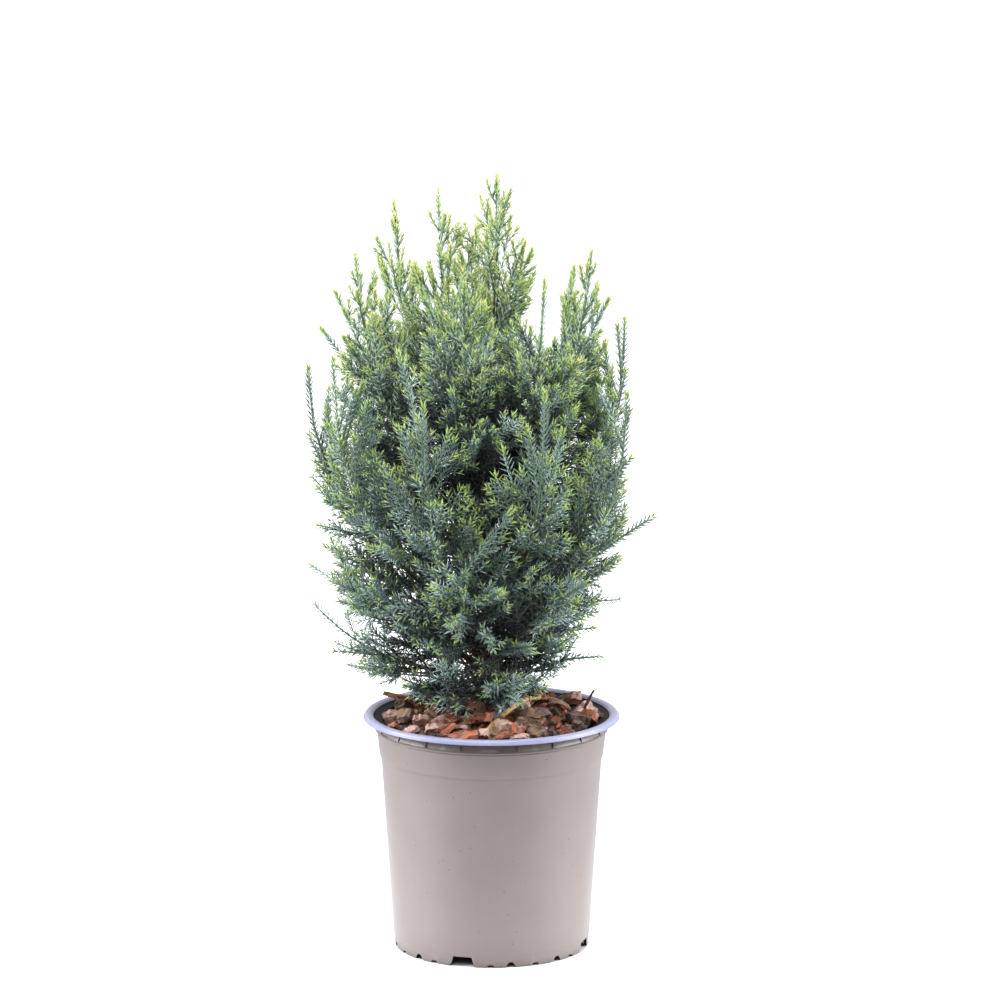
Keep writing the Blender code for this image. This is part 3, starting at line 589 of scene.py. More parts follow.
# Leaders by tier: azimuth, reach and height of the tip, and the height where each leaves the trunk.
tiers = {
    "spire": {
        "leaders": (
            (205, 0.029, 0.387, 0.238), (160, 0.052, 0.378, 0.222), (197, 0.07, 0.356, 0.205),
            (352, 0.049, 0.35, 0.232), (303, 0.048, 0.346, 0.214), (98, 0.048, 0.362, 0.212),
            (42, 0.048, 0.354, 0.198), (252, 0.045, 0.352, 0.196),
        ),
        "rise": 0.32, "out": 0.9, "bare": 0.15, "rootRadius": 0.0019,
    },
    "flank": {
        "leaders": (
            (6, 0.067, 0.32, 0.176), (329, 0.078, 0.29, 0.163), (289, 0.08, 0.296, 0.17),
            (246, 0.081, 0.29, 0.158), (208, 0.088, 0.308, 0.166), (176, 0.092, 0.296, 0.174),
            (138, 0.088, 0.306, 0.156), (94, 0.082, 0.3, 0.167), (50, 0.079, 0.296, 0.16),
        ),
        "rise": 0.3, "out": 1.02, "bare": 0.18, "rootRadius": 0.0022,
    },
    "skirt": {
        "leaders": (
            (357, 0.0815, 0.222, 0.141), (306, 0.08, 0.2, 0.137), (256, 0.082, 0.206, 0.143),
            (207, 0.089, 0.196, 0.138), (160, 0.09, 0.2, 0.144), (108, 0.084, 0.202, 0.136),
            (50, 0.08, 0.198, 0.145),
        ),
        "rise": 0.62, "out": 0.4, "bare": 0.18, "rootRadius": 0.0021,
    },
    "foot": {
        "leaders": (
            (180, 0.079, 0.152, 0.1275), (236, 0.068, 0.139, 0.1262), (287, 0.062, 0.137, 0.1275),
            (346, 0.056, 0.152, 0.1265), (54, 0.062, 0.152, 0.1275), (118, 0.07, 0.15, 0.1265),
        ),
        "rise": 0.95, "out": 0.45, "bare": 0.0, "rootRadius": 0.0016,
    },
}
nudges = {                          # of tips, for the looks
    "spire_4": (0.001, 0.0, 0.006),
    "spire_7": (0.006, -0.002, -0.011),
    "foot_2": (0.013, 0.02, -0.003),
    "foot_3": (-0.005, 0.018, -0.002),
}
leaderTip = {"tip": (0.003, 0.0, 0.393), "bow": 0.0008, "rootRadius": 0.0015}

# How the crown fills out. Finer leaders run from the limbs to tips shared out evenly in shells.
fill = {
    "shells": (                     # share of the crown's reach, spacing of the tips
        (0.975, 0.0205), (0.79, 0.0245), (0.6, 0.0245), (0.42, 0.025), (0.25, 0.027),
    ),
    "lowest": 0.132,
    "shoulder": 0.305,              # where the crown's side turns into its top
    "top": 0.34,
    "topDrop": 0.036,
    "plumes": (                     # tips that show in the photo's outline
        (-0.077, -0.012, 0.336), (-0.085, 0.004, 0.316), (0.058, -0.006, 0.332), (-0.089, 0.0, 0.176),
        (-0.0905, -0.005, 0.197), (-0.078, 0.005, 0.155), (-0.071, -0.006, 0.146), (0.064, -0.006, 0.18),
        (0.051, 0.004, 0.163), (0.043, -0.008, 0.151), (-0.059, -0.003, 0.368), (-0.0915, 0.004, 0.262),
        (-0.09, 0.006, 0.24), (0.063, 0.004, 0.317), (0.067, -0.004, 0.296), (0.0695, 0.006, 0.274),
        (0.07, -0.006, 0.252), (0.0165, -0.004, 0.36), (0.012, 0.004, 0.348), (0.019, -0.005, 0.342),
    ),
    "plumeReach": 1.2,              # share of the crown's reach that these may stand out to
    "valleys": (                    # x, half a width, lowest place
        (0.0285, 0.007, 0.307), (-0.0372, 0.007, 0.349), (-0.063, 0.0045, 0.346),
    ),
    "length": (0.026, 0.048),       # wished for
    "shortest": 0.011,
    "longest": 0.072,
    "crowding": 0.004,              # cost of each leader that already leaves a limb at a place
    "backwards": 0.03,              # cost of one that runs back along its limb
    "spread": (10, 0.45),           # of its rise in degrees, and of its azimuth in radians
    "bow": (0.1, 0.07),             # along its limb and down, as shares of its length
    "rise": (                       # height, degrees above the level that a finer leader points
        (0.124, 3.0), (0.15, 14.0), (0.185, 30.0), (0.23, 46.0), (0.27, 58.0), (0.31, 70.0), (0.35, 78.0)),
    "radius": 0.00062,
}

shortestParent = 0.0105             # a shorter shoot carries no side shoots

# Side shoots by the order of their parent: spacing, first and last place, pitch at both ends of the
# parent, length against what is left of the parent, limits of length, spread out of the plane, lift,
# and the share of the crown's reach that they keep within.
shootRules = (
    {"spacing": 0.0046, "first": 0.3, "last": 0.011, "pitch": (48.0, 36.0), "share": 0.62, "base": 0.003,
     "longest": 0.04, "shortest": 0.007, "fan": 78.0, "lift": 0.22, "radius": 0.00055, "within": 1.0},
    {"spacing": 0.0044, "first": 0.34, "last": 0.0076, "pitch": (46.0, 38.0), "share": 0.36, "base": 0.005,
     "longest": 0.0175, "shortest": 0.0058, "fan": 30.0, "lift": 0.1, "radius": 0.00042, "within": 0.95},
    {"spacing": 0.0048, "first": 0.3, "last": 0.0052, "pitch": (46.0, 42.0), "share": 0.36, "base": 0.003,
     "longest": 0.008, "shortest": 0.0046, "fan": 34.0, "lift": 0.05, "radius": 0.00032, "within": 0.93},
)


def trunkAxis(height):
    share = (height - trunk["bottom"]) / (trunk["top"] - trunk["bottom"])
    ease = share * share * (3.0 - 2.0 * share)
    sway = trunk["sway"] * math.sin(2.0 * math.pi * share)
    (x, y), (tipX, tipY) = trunk["foot"], trunk["tip"]
    return Vector((x + ease * (tipX - x) + sway, y + ease * (tipY - y) - 0.6 * sway, height))


def trunkRadius(height):
    share = max(0.0, (height - trunk["bottom"]) / (trunk["top"] - trunk["bottom"]))
    flare = (trunk["flareRadius"] - trunk["radius"]) * math.exp(
        -(height - trunk["bottom"]) / (0.45 * trunk["flareHeight"]))
    return trunk["radius"] + share * (trunk["tipRadius"] - trunk["radius"]) + flare


crownTable = np.array(crown["halfWidths"])


def crownReach(x, y, height):
    # How far a place is from the pot's axis, and how far the crown reaches on its side at its height.
    left, right = [np.interp(height, crownTable[:, 0], crownTable[:, side]) for side in (1, 2)]
    radius = np.hypot(x, y)
    return radius, 0.5 * (left + right) + 0.5 * (right - left) * (x / np.maximum(radius, 1e-9))


class Shoot:
    # One smooth shoot: a quadratic path with a radius at its root, and its spray's tone and vigour.
    def __init__(self, start, middle, tip, radius, order, mass, tone=0.5, vigour=0.5):
        self.start, self.middle, self.tip = start, middle, tip
        self.radius, self.order, self.mass = radius, order, mass
        self.tone, self.vigour = tone, vigour
        self.length = 0.5 * ((tip - start).length + (middle - start).length + (tip - middle).length)

    def at(self, t):
        return self.start * (1 - t) ** 2 + self.middle * (2 * t * (1 - t)) + self.tip * t * t

    def direction(self, t):
        return ((self.middle - self.start) * (1 - t) + (self.tip - self.middle) * t).normalized()


def growLeaders():
    # The bough of each leader and the stem of its foliage are parts of one path.
    boughs, stems = [], []
    for tierName, tier in tiers.items():
        for number, (azimuth, reach, height, fork) in enumerate(tier["leaders"], start=1):
            mass = f"{tierName}_{number}"
            start = trunkAxis(fork)
            tip = polar(reach, azimuth, height)
            outward = Vector((tip.x - start.x, tip.y - start.y, 0.0))
            middle = start + outward * tier["out"] + Vector((0, 0, tier["rise"] * (height - fork)))
            path = Shoot(start, middle, tip, tier["rootRadius"], 0, mass)
            bare = tier["bare"]
            while bare > 0:
                place = path.at(bare)
                if (place - trunkAxis(place.z)).length - trunkRadius(place.z) >= crown["forkRoom"]:
                    break
                bare += 0.01
            joint = path.at(bare)
            if bare > 0:
                boughMiddle = start * (1 - bare) + middle * bare
                boughs.append(Shoot(start, boughMiddle, joint, tier["rootRadius"], 0, mass))
            stemMiddle = middle * (1 - bare) + tip * bare
            tip = tip + Vector(nudges.get(mass, (0, 0, 0)))
            stems.append(Shoot(joint, stemMiddle, tip, crown["boughTipRadius"], 0, mass))
    top, tip = trunkAxis(trunk["top"]), Vector(leaderTip["tip"])
    middle = 0.5 * (top + tip) + Vector((leaderTip["bow"], 0, 0))
    stems.append(Shoot(top, middle, tip, leaderTip["rootRadius"], 0, "leader"))
    return boughs, stems


def undercut(point):
    # The crown's underside, higher in front than at the sides, and lowest behind.
    radius = max(math.hypot(point.x, point.y), 1e-6)
    slope = crown["sideUndercut"] - crown["frontUndercut"] * point.y / radius
    azimuth, wide, rise = crown["hollow"]
    hollow = rise * math.exp(-((azimuthOf(point) - azimuth) / wide) ** 2)
    return crown["floor"] + hollow + slope * max(0.0, radius - 0.006)


def fits(points, share=1.0, mass=""):
    # True where all the points lie in this share of the crown's reach, over its underside and off the trunk.
    for point in points:
        radius, reach = crownReach(*point)
        lowest = crown["floor"] if mass.startswith("foot") else undercut(point)
        if radius > share * reach or point.z < lowest:
            return False
        if any(abs(point.x - x) < wide and point.z > low for x, wide, low in fill["valleys"]):
            return False
        room = trunkRadius(point.z) + crown["trunkRoom"]
        if point.z < trunk["top"] and (point - trunkAxis(point.z)).length < room:
            return False
    return True


def growShoots(parent, rule, rng):
    # Side shoots stand to the left and right of the parent in turn, in a fan that faces outwards.
    shoots = []
    hand = rng.choice((-1.0, 1.0))
    place = max(rule["first"] * parent.length, 0.0025)
    while place < parent.length - rule["last"]:
        share = place / parent.length
        left = parent.length - place
        length = min(rule["longest"], rule["share"] * left + rule["base"]) * rng.uniform(0.8, 1.15)
        origin = parent.at(share)
        direction = parent.direction(share)
        if parent.order == 0:
            outward = Vector((origin.x, origin.y, 0.0)) + polar(0.008, rng.uniform(0, 360), 0.0)
        else:
            outward = parent.face
        across = direction.cross(outward)
        across = across.normalized() if across.length > 1e-6 else direction.orthogonal().normalized()
        front = across.cross(direction).normalized()
        fan = math.radians(rng.uniform(-1.0, 1.0) * rule["fan"])
        side = across * (hand * math.cos(fan)) + front * math.sin(fan)
        low, high = rule["pitch"]
        pitch = math.radians(low + (high - low) * share + rng.uniform(-5.0, 5.0))
        heading = (direction * math.cos(pitch) + side * math.sin(pitch)).normalized()
        while length > rule["shortest"]:
            middle = origin + heading * (0.5 * length)
            end = origin + (heading + direction * 0.2 + Vector((0, 0, rule["lift"]))).normalized() * length
            if fits((middle, end), rule["within"], parent.mass):
                if parent.order == 0:
                    tone, vigour = rng.random(), rng.random()
                else:
                    tone = min(1.0, max(0.0, parent.tone + rng.gauss(0.0, 0.09)))
                    vigour = parent.vigour + 0.6 * (share - 0.62) + rng.gauss(0.0, 0.1)
                shoot = Shoot(origin, middle, end, rule["radius"], parent.order + 1, parent.mass,
                              tone, vigour)
                shoot.face = front
                shoots.append(shoot)
                break
            length *= 0.85
        hand = -hand
        place += rule["spacing"] * rng.uniform(0.8, 1.2)
    return shoots


def shareOutTips(rng):
    # Tips in rings up the crown's side and over its top, shell within shell.
    tips = [Vector(place) for place in fill["plumes"]]
    for depth, spacing in fill["shells"]:
        rings = []
        height = fill["lowest"]
        while height < fill["shoulder"] - (1.0 - depth) * 0.05:
            rings.append((height, 1.0))
            height += spacing * 0.93
        share = 0.9
        while share > 0.05:
            rings.append((fill["top"] - fill["topDrop"] * share ** 2 - (1.0 - depth) * 0.07, share))
            share -= spacing / 0.088
        for ring, (height, share) in enumerate(rings):
            reach = crownReach(0.0, 1.0, height)[1] * share * depth
            count = max(1, int(2.0 * math.pi * reach / spacing))
            for number in range(count):
                azimuth = 360.0 * number / count + ring * goldenAngle
                azimuth += rng.uniform(-0.35, 0.35) * 360.0 / count
                level = height + rng.uniform(-0.6, 0.6) * spacing
                reach = crownReach(*polar(1.0, azimuth, level))[1] * share * depth * rng.uniform(0.8, 1.02)
                tips.append(polar(reach, azimuth, level))
    return tips


def limbPlaces(boughs, stems):
    # Where a finer leader may leave a limb: places, directions and the mass that each belongs to.
    rows = []
    for limb, first, last in [(b, 0.35, 1.0) for b in boughs] + [(s, 0.0, 0.86) for s in stems]:
        count = max(3, int(limb.length * (last - first) / 0.004))
        for index in range(count):
            share = first + (last - first) * index / (count - 1)
            rows.append((limb.at(share), limb.direction(share), limb.mass))
    height = 0.1235
    while height < 0.29:
        rows.append((trunkAxis(height), Vector((0, 0, 1)), "trunk"))
        height += 0.004
    places, directions, masses = zip(*rows)
    return np.array(places), np.array(directions), masses


def growFill(boughs, stems, rng):
    places, directions, masses = limbPlaces(boughs, stems)
    used = np.zeros(len(places))
    riseTable = np.array(fill["rise"])
    riseSpread, azimuthSpread = fill["spread"]
    along, down = fill["bow"]
    leaders = []
    for number, tip in enumerate(shareOutTips(rng)):
        rise = np.interp(tip.z, riseTable[:, 0], riseTable[:, 1])
        rise = math.radians(rise + rng.uniform(-riseSpread, riseSpread))
        azimuth = math.atan2(tip.y, tip.x) + rng.gauss(0.0, azimuthSpread)
        length = rng.uniform(*fill["length"])
        level = math.cos(rise)
        heading = Vector((math.cos(azimuth) * level, math.sin(azimuth) * level, math.sin(rise)))
        wished = tip - heading * length
        run = np.array(tip) - places
        distance = np.linalg.norm(run, axis=1)
        cosine = np.einsum("ij,ij->i", run, directions) / np.maximum(distance, 1e-6)
        cost = np.linalg.norm(places - np.array(wished), axis=1) + fill["crowding"] * used
        cost = cost + np.where(cosine < 0.3, fill["backwards"] * (0.3 - cosine), 0.0)
        cost = cost + np.where((distance > fill["longest"]) | (distance < fill["shortest"]), 1.0, 0.0)
        best = int(np.argmin(cost))
        if cost[best] > 0.9:
            continue
        used[best] += 1
        origin = Vector(places[best])
        reach = tip - origin
        middle = origin + reach * 0.5 + Vector(directions[best]) * (along * reach.length)
        middle.z -= down * reach.length
        if not fits((tip,), fill["plumeReach"] if number < len(fill["plumes"]) else 1.0):
            continue
        leader = Shoot(origin, middle, tip, fill["radius"], 1, masses[best], rng.random(), rng.random())
        leader.face = reach.cross(Vector([rng.gauss(0, 1) for axis in "xyz"])).normalized()
        leaders.append(leader)
    return leaders


def growPlant(boughs, stems):
    # Returns the shoots of every order; the stems come first.
    rng = random.Random(seed)
    orders = [stems, [], [], []]
    for order, rule in enumerate(shootRules):
        for parent in orders[order]:
            if order == 0 or parent.length > shortestParent:
                orders[order + 1] += growShoots(parent, rule, rng)
        if order == 0:
            orders[1] += growFill(boughs, stems, rng)
    return orders


# Needles: awl shaped, in crossed pairs

needle = {
    "gap": (0.0019, 0.0018, 0.00165, 0.0015),      # between pairs, by order
    "length": (0.0056, 0.0052, 0.0047, 0.0042),
    "width": 0.00098,
    "thickness": 0.00042,
    "widest": 0.34,                 # share of the length
    "lowAngle": (55.0, 34.0),       # from the shoot: along it and at its tip, low on the plant
    "highAngle": (27.0, 16.0),      # the same at its top
    "angleHeights": (0.24, 0.34),
    "curl": 0.1,
    "bud": 0.005,                   # the last part of a shoot, where the needles close up
    "bareFoot": (0.06, 0.1, 0.06, 0.05),
    "faces": ((0, 2, 1), (0, 1, 3), (0, 3, 2), (4, 1, 2), (4, 3, 1), (4, 2, 3)),
    "mostFaces": 195000,            # in a piece
}

foliageColours = {
    "goldenTips": (0.46, 0.48, 0.175),
    "limeTips": (0.29, 0.395, 0.115),
    "freshGreen": (0.175, 0.285, 0.185),
    "paintedLitTopGreen": (0.4, 0.52, 0.39),
    "glaucousAndGlintTips": (0.36, 0.485, 0.46),
    "leafGreen": (0.13, 0.198, 0.165),
    "seaGreen": (0.134, 0.203, 0.192),
    "greyGreen": (0.285, 0.395, 0.37),
    "paintedShadeGreen": (0.052, 0.074, 0.077),
    "paintedDarkShadeGreen": (0.029, 0.032, 0.038),
}

deal = {                            # by light: 0 at the trunk, 1 at the crown's outline
    "deep": 0.8,                    # darker than this a spray gets the painted shade green
    "shade": 0.68,                  # and below this the darker painted shade green
    "sunlit": 0.62,                 # lighter than this its tip has fresh and lime needles
    "bloomAndGlints": (0.78, 0.0058, 0.8),   # light, reach from the tip and share of the glaucous needles, pale bloom partly painted as glints
}


def shootArrays(shoots):
    parts = ("start", "middle", "tip", "length")
    return [np.array([getattr(shoot, part) for shoot in shoots]) for part in parts]


def alongPaths(start, middle, tip, owner, share):
    t = share[:, None]
    place = start[owner] * (1 - t) ** 2 + middle[owner] * (2 * t * (1 - t)) + tip[owner] * t * t
    slope = (middle[owner] - start[owner]) * (1 - t) + (tip[owner] - middle[owner]) * t
    return place, slope / np.linalg.norm(slope, axis=1, keepdims=True)


def crossAxes(direction):
    helper = np.where(np.abs(direction[:, 2:3]) < 0.8, [[0.0, 0.0, 1.0]], [[1.0, 0.0, 0.0]])
    side = np.cross(direction, helper)
    side /= np.linalg.norm(side, axis=1, keepdims=True)
    return side, np.cross(direction, side)


def outerness(points):
    # 0 at the trunk, 1 at the crown's outline, the top of the crown included.
    radius, reach = crownReach(*points.T)
    over = np.clip(0.55 + 0.45 * (points[:, 2] - 0.275) / 0.07, 0.0, 1.0) * (points[:, 2] > 0.275)
    return np.clip(np.maximum(radius / reach, over), 0.0, 1.0)


def dealColours(shoots, owner, share, draws):
    # Each needle's colour: its spray's own green, with lime and golden needles near sunlit tips. Deep in the
    # crown it is painted dark as shade, at the top painted pale as light, and pale glaucous tips are partly
    # painted glints.
    start, middle, tip, length = shootArrays(shoots)
    light = outerness(tip)
    height = np.clip((tip[:, 2] - 0.125) / 0.265, 0.0, 1.0)
    spray = np.array([shoot.tone for shoot in shoots])
    luck = np.array([shoot.vigour for shoot in shoots])
    vigour = np.clip(light ** 2.4 * (0.14 + 0.86 * height) + 0.5 * (luck - 0.5), 0.0, 1.2)
    colour = list(foliageColours).index
    body = np.full(len(shoots), colour("seaGreen"))
    body[spray < 0.42 * height] = colour("leafGreen")
    body[spray > 0.46 + 0.32 * height] = colour("greyGreen")
    # Painted shade: sprays deep in the crown, and some just under its outline, are dark greens.
    body[(spray > 0.42) & (spray < 0.56) & (light < 0.92)] = colour("paintedShadeGreen")
    body[light < deal["deep"]] = colour("paintedShadeGreen")
    body[light < deal["shade"]] = colour("paintedDarkShadeGreen")
    # Painted light: sprays at the top of the crown are pale green, as if lit through from all sides.
    high = (tip[:, 2] - 0.285) / 0.06
    body[(draws.random(len(shoots)) < high) & (light > 0.5)] = colour("paintedLitTopGreen")
    fromTip = np.maximum((1.0 - share) * length[owner] + draws.normal(0.0, 0.0005, len(owner)), 0.0)
    # Pale glaucous needles near outer tips: partly the real bloom, partly painted glints.
    least, reach, bloomShare = deal["bloomAndGlints"]
    bloomAndGlint = (fromTip < reach * (0.85 - height[owner])) & (draws.random(len(owner)) < bloomShare)
    kind = np.where(bloomAndGlint & (light[owner] > least), colour("glaucousAndGlintTips"), body[owner])
    top = np.clip((tip[owner, 2] - 0.295) / 0.05, 0.0, 1.0)
    reaches = {                     # how far from the tip each colour of young needle starts
        "freshGreen": 0.0002 + (0.0088 + 0.004 * top) * vigour[owner],
        "limeTips": (0.0068 + 0.003 * top) * vigour[owner],
        "goldenTips": 0.011 * np.clip(vigour[owner] - 0.7, 0.0, 1.0) * (top > 0.0),
    }
    for name, reach in reaches.items():
        kind = np.where((light[owner] > deal["sunlit"]) & (fromTip < reach), colour(name), kind)
    return kind


def needleArrays(shoots, order, draws):
    # Two needles at each joint of a shoot, each pair a quarter turn from the last.
    start, middle, tip, length = shootArrays(shoots)
    counts = np.maximum(3, np.floor(length / needle["gap"][order])).astype(int)
    owner = np.repeat(np.arange(len(shoots)), counts)
    joint = np.arange(len(owner)) - np.repeat(np.cumsum(counts) - counts, counts)
    foot = needle["bareFoot"][order]
    step = (joint + 0.6) / counts[owner]
    share = foot + (1.0 - foot) * (step + 0.42 * step * (1.0 - step))
    turn = joint * 0.5 * math.pi + draws.random(len(shoots))[owner] * math.pi
    owner = np.concatenate([owner, owner])
    share = np.concatenate([share, share])
    turn = np.concatenate([turn, turn + math.pi]) + draws.normal(0.0, 0.11, len(owner))
    place, direction = alongPaths(start, middle, tip, owner, share)
    side, other = crossAxes(direction)
    radial = side * np.cos(turn)[:, None] + other * np.sin(turn)[:, None]
    low, high = needle["angleHeights"]
    lifted = np.clip((place[:, 2] - low) / (high - low), 0.0, 1.0)
    wide, narrow = [a + (b - a) * lifted for a, b in zip(needle["lowAngle"], needle["highAngle"])]
    close = np.clip(1.0 - (1.0 - share) * length[owner] / needle["bud"], 0.0, 1.0)
    angle = np.radians(wide + (narrow - wide) * close + draws.normal(0.0, 4.5, len(owner)))
    heading = direction * np.cos(angle)[:, None] + radial * np.sin(angle)[:, None]
    size = needle["length"][order] * (0.7 + 0.3 * np.sin(np.pi * np.clip(0.2 + 0.62 * share, 0, 1)))
    size = size * np.clip(length[owner] / 0.008, 0.75, 1.0) * draws.uniform(0.86, 1.12, len(owner))
    size = size * (1.0 - 0.06 * close)
    flat = np.cross(heading, radial)
    flat /= np.maximum(np.linalg.norm(flat, axis=1, keepdims=True), 1e-9)
    back = np.cross(flat, heading)
    half = (0.5 * needle["width"] * draws.uniform(0.88, 1.1, len(owner)))[:, None]
    waist = place + heading * (needle["widest"] * size)[:, None]
    under = back * (0.3 * needle["thickness"])
    corners = np.stack([
        place,
        waist + flat * half - under,
        waist - flat * half - under,
        waist + back * needle["thickness"],
        place + heading * size[:, None] + direction * (needle["curl"] * size)[:, None],
    ], axis=1)
    return corners, dealColours(shoots, owner, share, draws)


def meshFromArrays(name, corners, faces):
    # corners holds the points of each small thing, and faces its triangles, the same for all.
    count, points = corners.shape[:2]
    index = np.arange(count)[:, None, None] * points + np.array(faces)[None]
    mesh = bpy.data.meshes.new(name)
    mesh.from_pydata(corners.reshape(-1, 3), [], index.reshape(-1, 3), shade_flat=False)
    return linked(name, mesh)


def tubes(shoots, sides, rings, last=0.97, tipShare=0.35):
    # Tapered tubes along shoots, as one set of points and triangles for each shoot.
    start, middle, tip, length = shootArrays(shoots)
    radius = np.array([shoot.radius for shoot in shoots])
    owner = np.arange(len(shoots))
    columns, ends, faces = [], [], []
    for ring in range(rings):
        t = last * ring / (rings - 1)
        place, direction = alongPaths(start, middle, tip, owner, np.full(len(shoots), t))
        side, other = crossAxes(direction)
        width = (radius * (1.0 - (1.0 - tipShare) * t))[:, None]
        for corner in range(sides):
            angle = 2.0 * math.pi * corner / sides
            columns.append(place + (side * math.cos(angle) + other * math.sin(angle)) * width)
        ends.append(place)
    corners = np.stack(columns + [ends[0], ends[-1] + direction * width], axis=1)
    root = rings * sides
    for corner in range(sides):
        after = (corner + 1) % sides
        for low in range(0, root - sides, sides):
            faces.append((low + corner, low + after, low + sides + after))
            faces.append((low + corner, low + sides + after, low + sides + corner))
        faces.append((root, after, corner))
        faces.append((root + 1, root - sides + corner, root - sides + after))
    return corners, faces


def barkMaterial(name, dark, light, scale, roughness):
    material, tree, shader = newMaterial(name, light, roughness)
    turned = addNode(tree, "Mapping", {"Vector": objectPlace(tree), "Scale": (scale, scale, scale),
                                       "Rotation": (0.0, math.radians(90.0), 0.0)})
    grain = grainOf(tree, barkGroup, turned.outputs[0], fibreScale=9.0, patchScale=2.2, stretch=0.18)
    middle = tuple(0.5 * (a + b) for a, b in zip(dark, light))
    feed(shader, {
        "Base Color": rampOf(tree, grain["Fibres"], ((0.3, dark), (0.5, middle), (0.72, light))),
        "Normal": bumpOf(tree, grain["Height"], 0.7, 0.0005),
    })
    return material


def buildFoliage(orders):
    draws = np.random.default_rng(seed)
    corners, kinds = zip(*[needleArrays(shoots, order, draws) for order, shoots in enumerate(orders)])
    corners, kinds = np.concatenate(corners), np.concatenate(kinds)
    pieces = []
    for number, (name, colour) in enumerate(foliageColours.items()):
        mine = corners[kinds == number]
        mine = mine[np.argsort(mine[:, 0, 2], kind="stable")]
        material, tree, shader = newMaterial(name, colour, 0.35, {"Specular IOR Level": 0.62})
        parts = max(1, math.ceil(len(mine) * len(needle["faces"]) / needle["mostFaces"]))
        for part, group in enumerate(np.array_split(mine, parts)):
            piece = meshFromArrays(name if parts == 1 else f"{name}_{part + 1}", group, needle["faces"])
            paint(piece, material)
            finished(piece, "foliage", *nodesNamed("foliage_"))
            pieces.append(piece)
        print("needles", name, len(mine))
    main = orders[0] + orders[1]
    inner = [s for s in main if s.order == 0 or (s.start.xy.length < 0.055 and s.start.z < 0.27)]
    bark = barkMaterial("youngBark", (0.03, 0.018, 0.012), (0.13, 0.075, 0.04), 260.0, 0.8)
    twig = newMaterial("greenTwig", (0.13, 0.2, 0.11), 0.6)[0]
    for name, material, shape in (
        ("woodyShoots", bark, tubes(inner, 5, 5, last=0.36)),
        ("softShoots", twig, tubes(main, 4, 6)),
        ("greenTwigs", twig, tubes(orders[2] + orders[3], 3, 2, tipShare=0.55)),
    ):
        piece = meshFromArrays(name, *shape)
        piece.data.shade_smooth()
        paint(piece, material)
        finished(piece, "foliage")
        pieces.append(piece)
    total = sum(len(piece.data.polygons) for piece in pieces)
    print("foliage ready,", [len(o) for o in orders], "shoots,", len(corners), "needles,", total, "triangles")


# Trunk and boughs with the relief of their bark

def extrudedLimb(name, path, radii, sides):
    # A ring is carried along the path: extruded, then turned and resized at each step.
    heading = (path[1] - path[0]).normalized()
    limb = newDisc(name, sides, radii[0], path[0], heading.to_track_quat("Z", "X").to_euler())
    edit(limb)
    for index in range(1, len(path)):
        place = path[index]
        bpy.ops.mesh.extrude_region_move(TRANSFORM_OT_translate={"value": place - path[index - 1]})
        nextHeading = (path[min(index + 1, len(path) - 1)] - path[index - 1]).normalized()
        axis = heading.cross(nextHeading)
        if axis.length > 1e-6:
            turn = Matrix.Rotation(heading.angle(nextHeading), 3, axis)
            for angle, letter in zip(turn.to_euler("XYZ"), "XYZ"):
                if abs(angle) > 1e-5:
                    bpy.ops.transform.rotate(value=-angle, orient_axis=letter, orient_type="GLOBAL",
                                             center_override=place)
        heading = nextHeading
        growth = radii[index] / radii[index - 1]
        bpy.ops.transform.resize(value=(growth, growth, growth), center_override=place)
    endEdit()
    return limb


def limbAlong(name, shoot, tipRadius, count, sides):
    shares = [index / (count - 1) for index in range(count)]
    radii = [shoot.radius + (tipRadius - shoot.radius) * share for share in shares]
    return extrudedLimb(name, [shoot.at(share) for share in shares], radii, sides)


def barkPiece(piece, relief, material, slot, *nodes):
    # Roughened by a strength and a scale, smooth, painted and handed over.
    roughen(piece, *relief)
    piece.data.shade_smooth()
    paint(piece, material)
    finished(piece, slot, *nodes)


def buildLimbs(boughs):
    bottom = trunk["bottom"] + clear
    rings = trunk["rings"]
    heights = [bottom + (trunk["top"] - bottom) * (ring / (rings - 1)) ** 1.25 for ring in range(rings)]
    stem = extrudedLimb("trunkBark", [trunkAxis(height) for height in heights],
                        [trunkRadius(height) for height in heights], trunk["sides"])
    bark = barkMaterial("scalyBark", (0.035, 0.018, 0.012), (0.19, 0.095, 0.05), 180.0, 0.85)
    barkPiece(stem, (0.0011, 0.0045), bark, "trunk", "trunk")
    limbs = [limbAlong(f"limb_{bough.mass}", bough, crown["boughTipRadius"], 10, 9) for bough in boughs]
    barkPiece(joinPieces("boughBark", limbs), (0.0006, 0.003), bark, "bark", *nodesNamed("bough_"))
    print("limbs ready")


# Bark chips over the compost

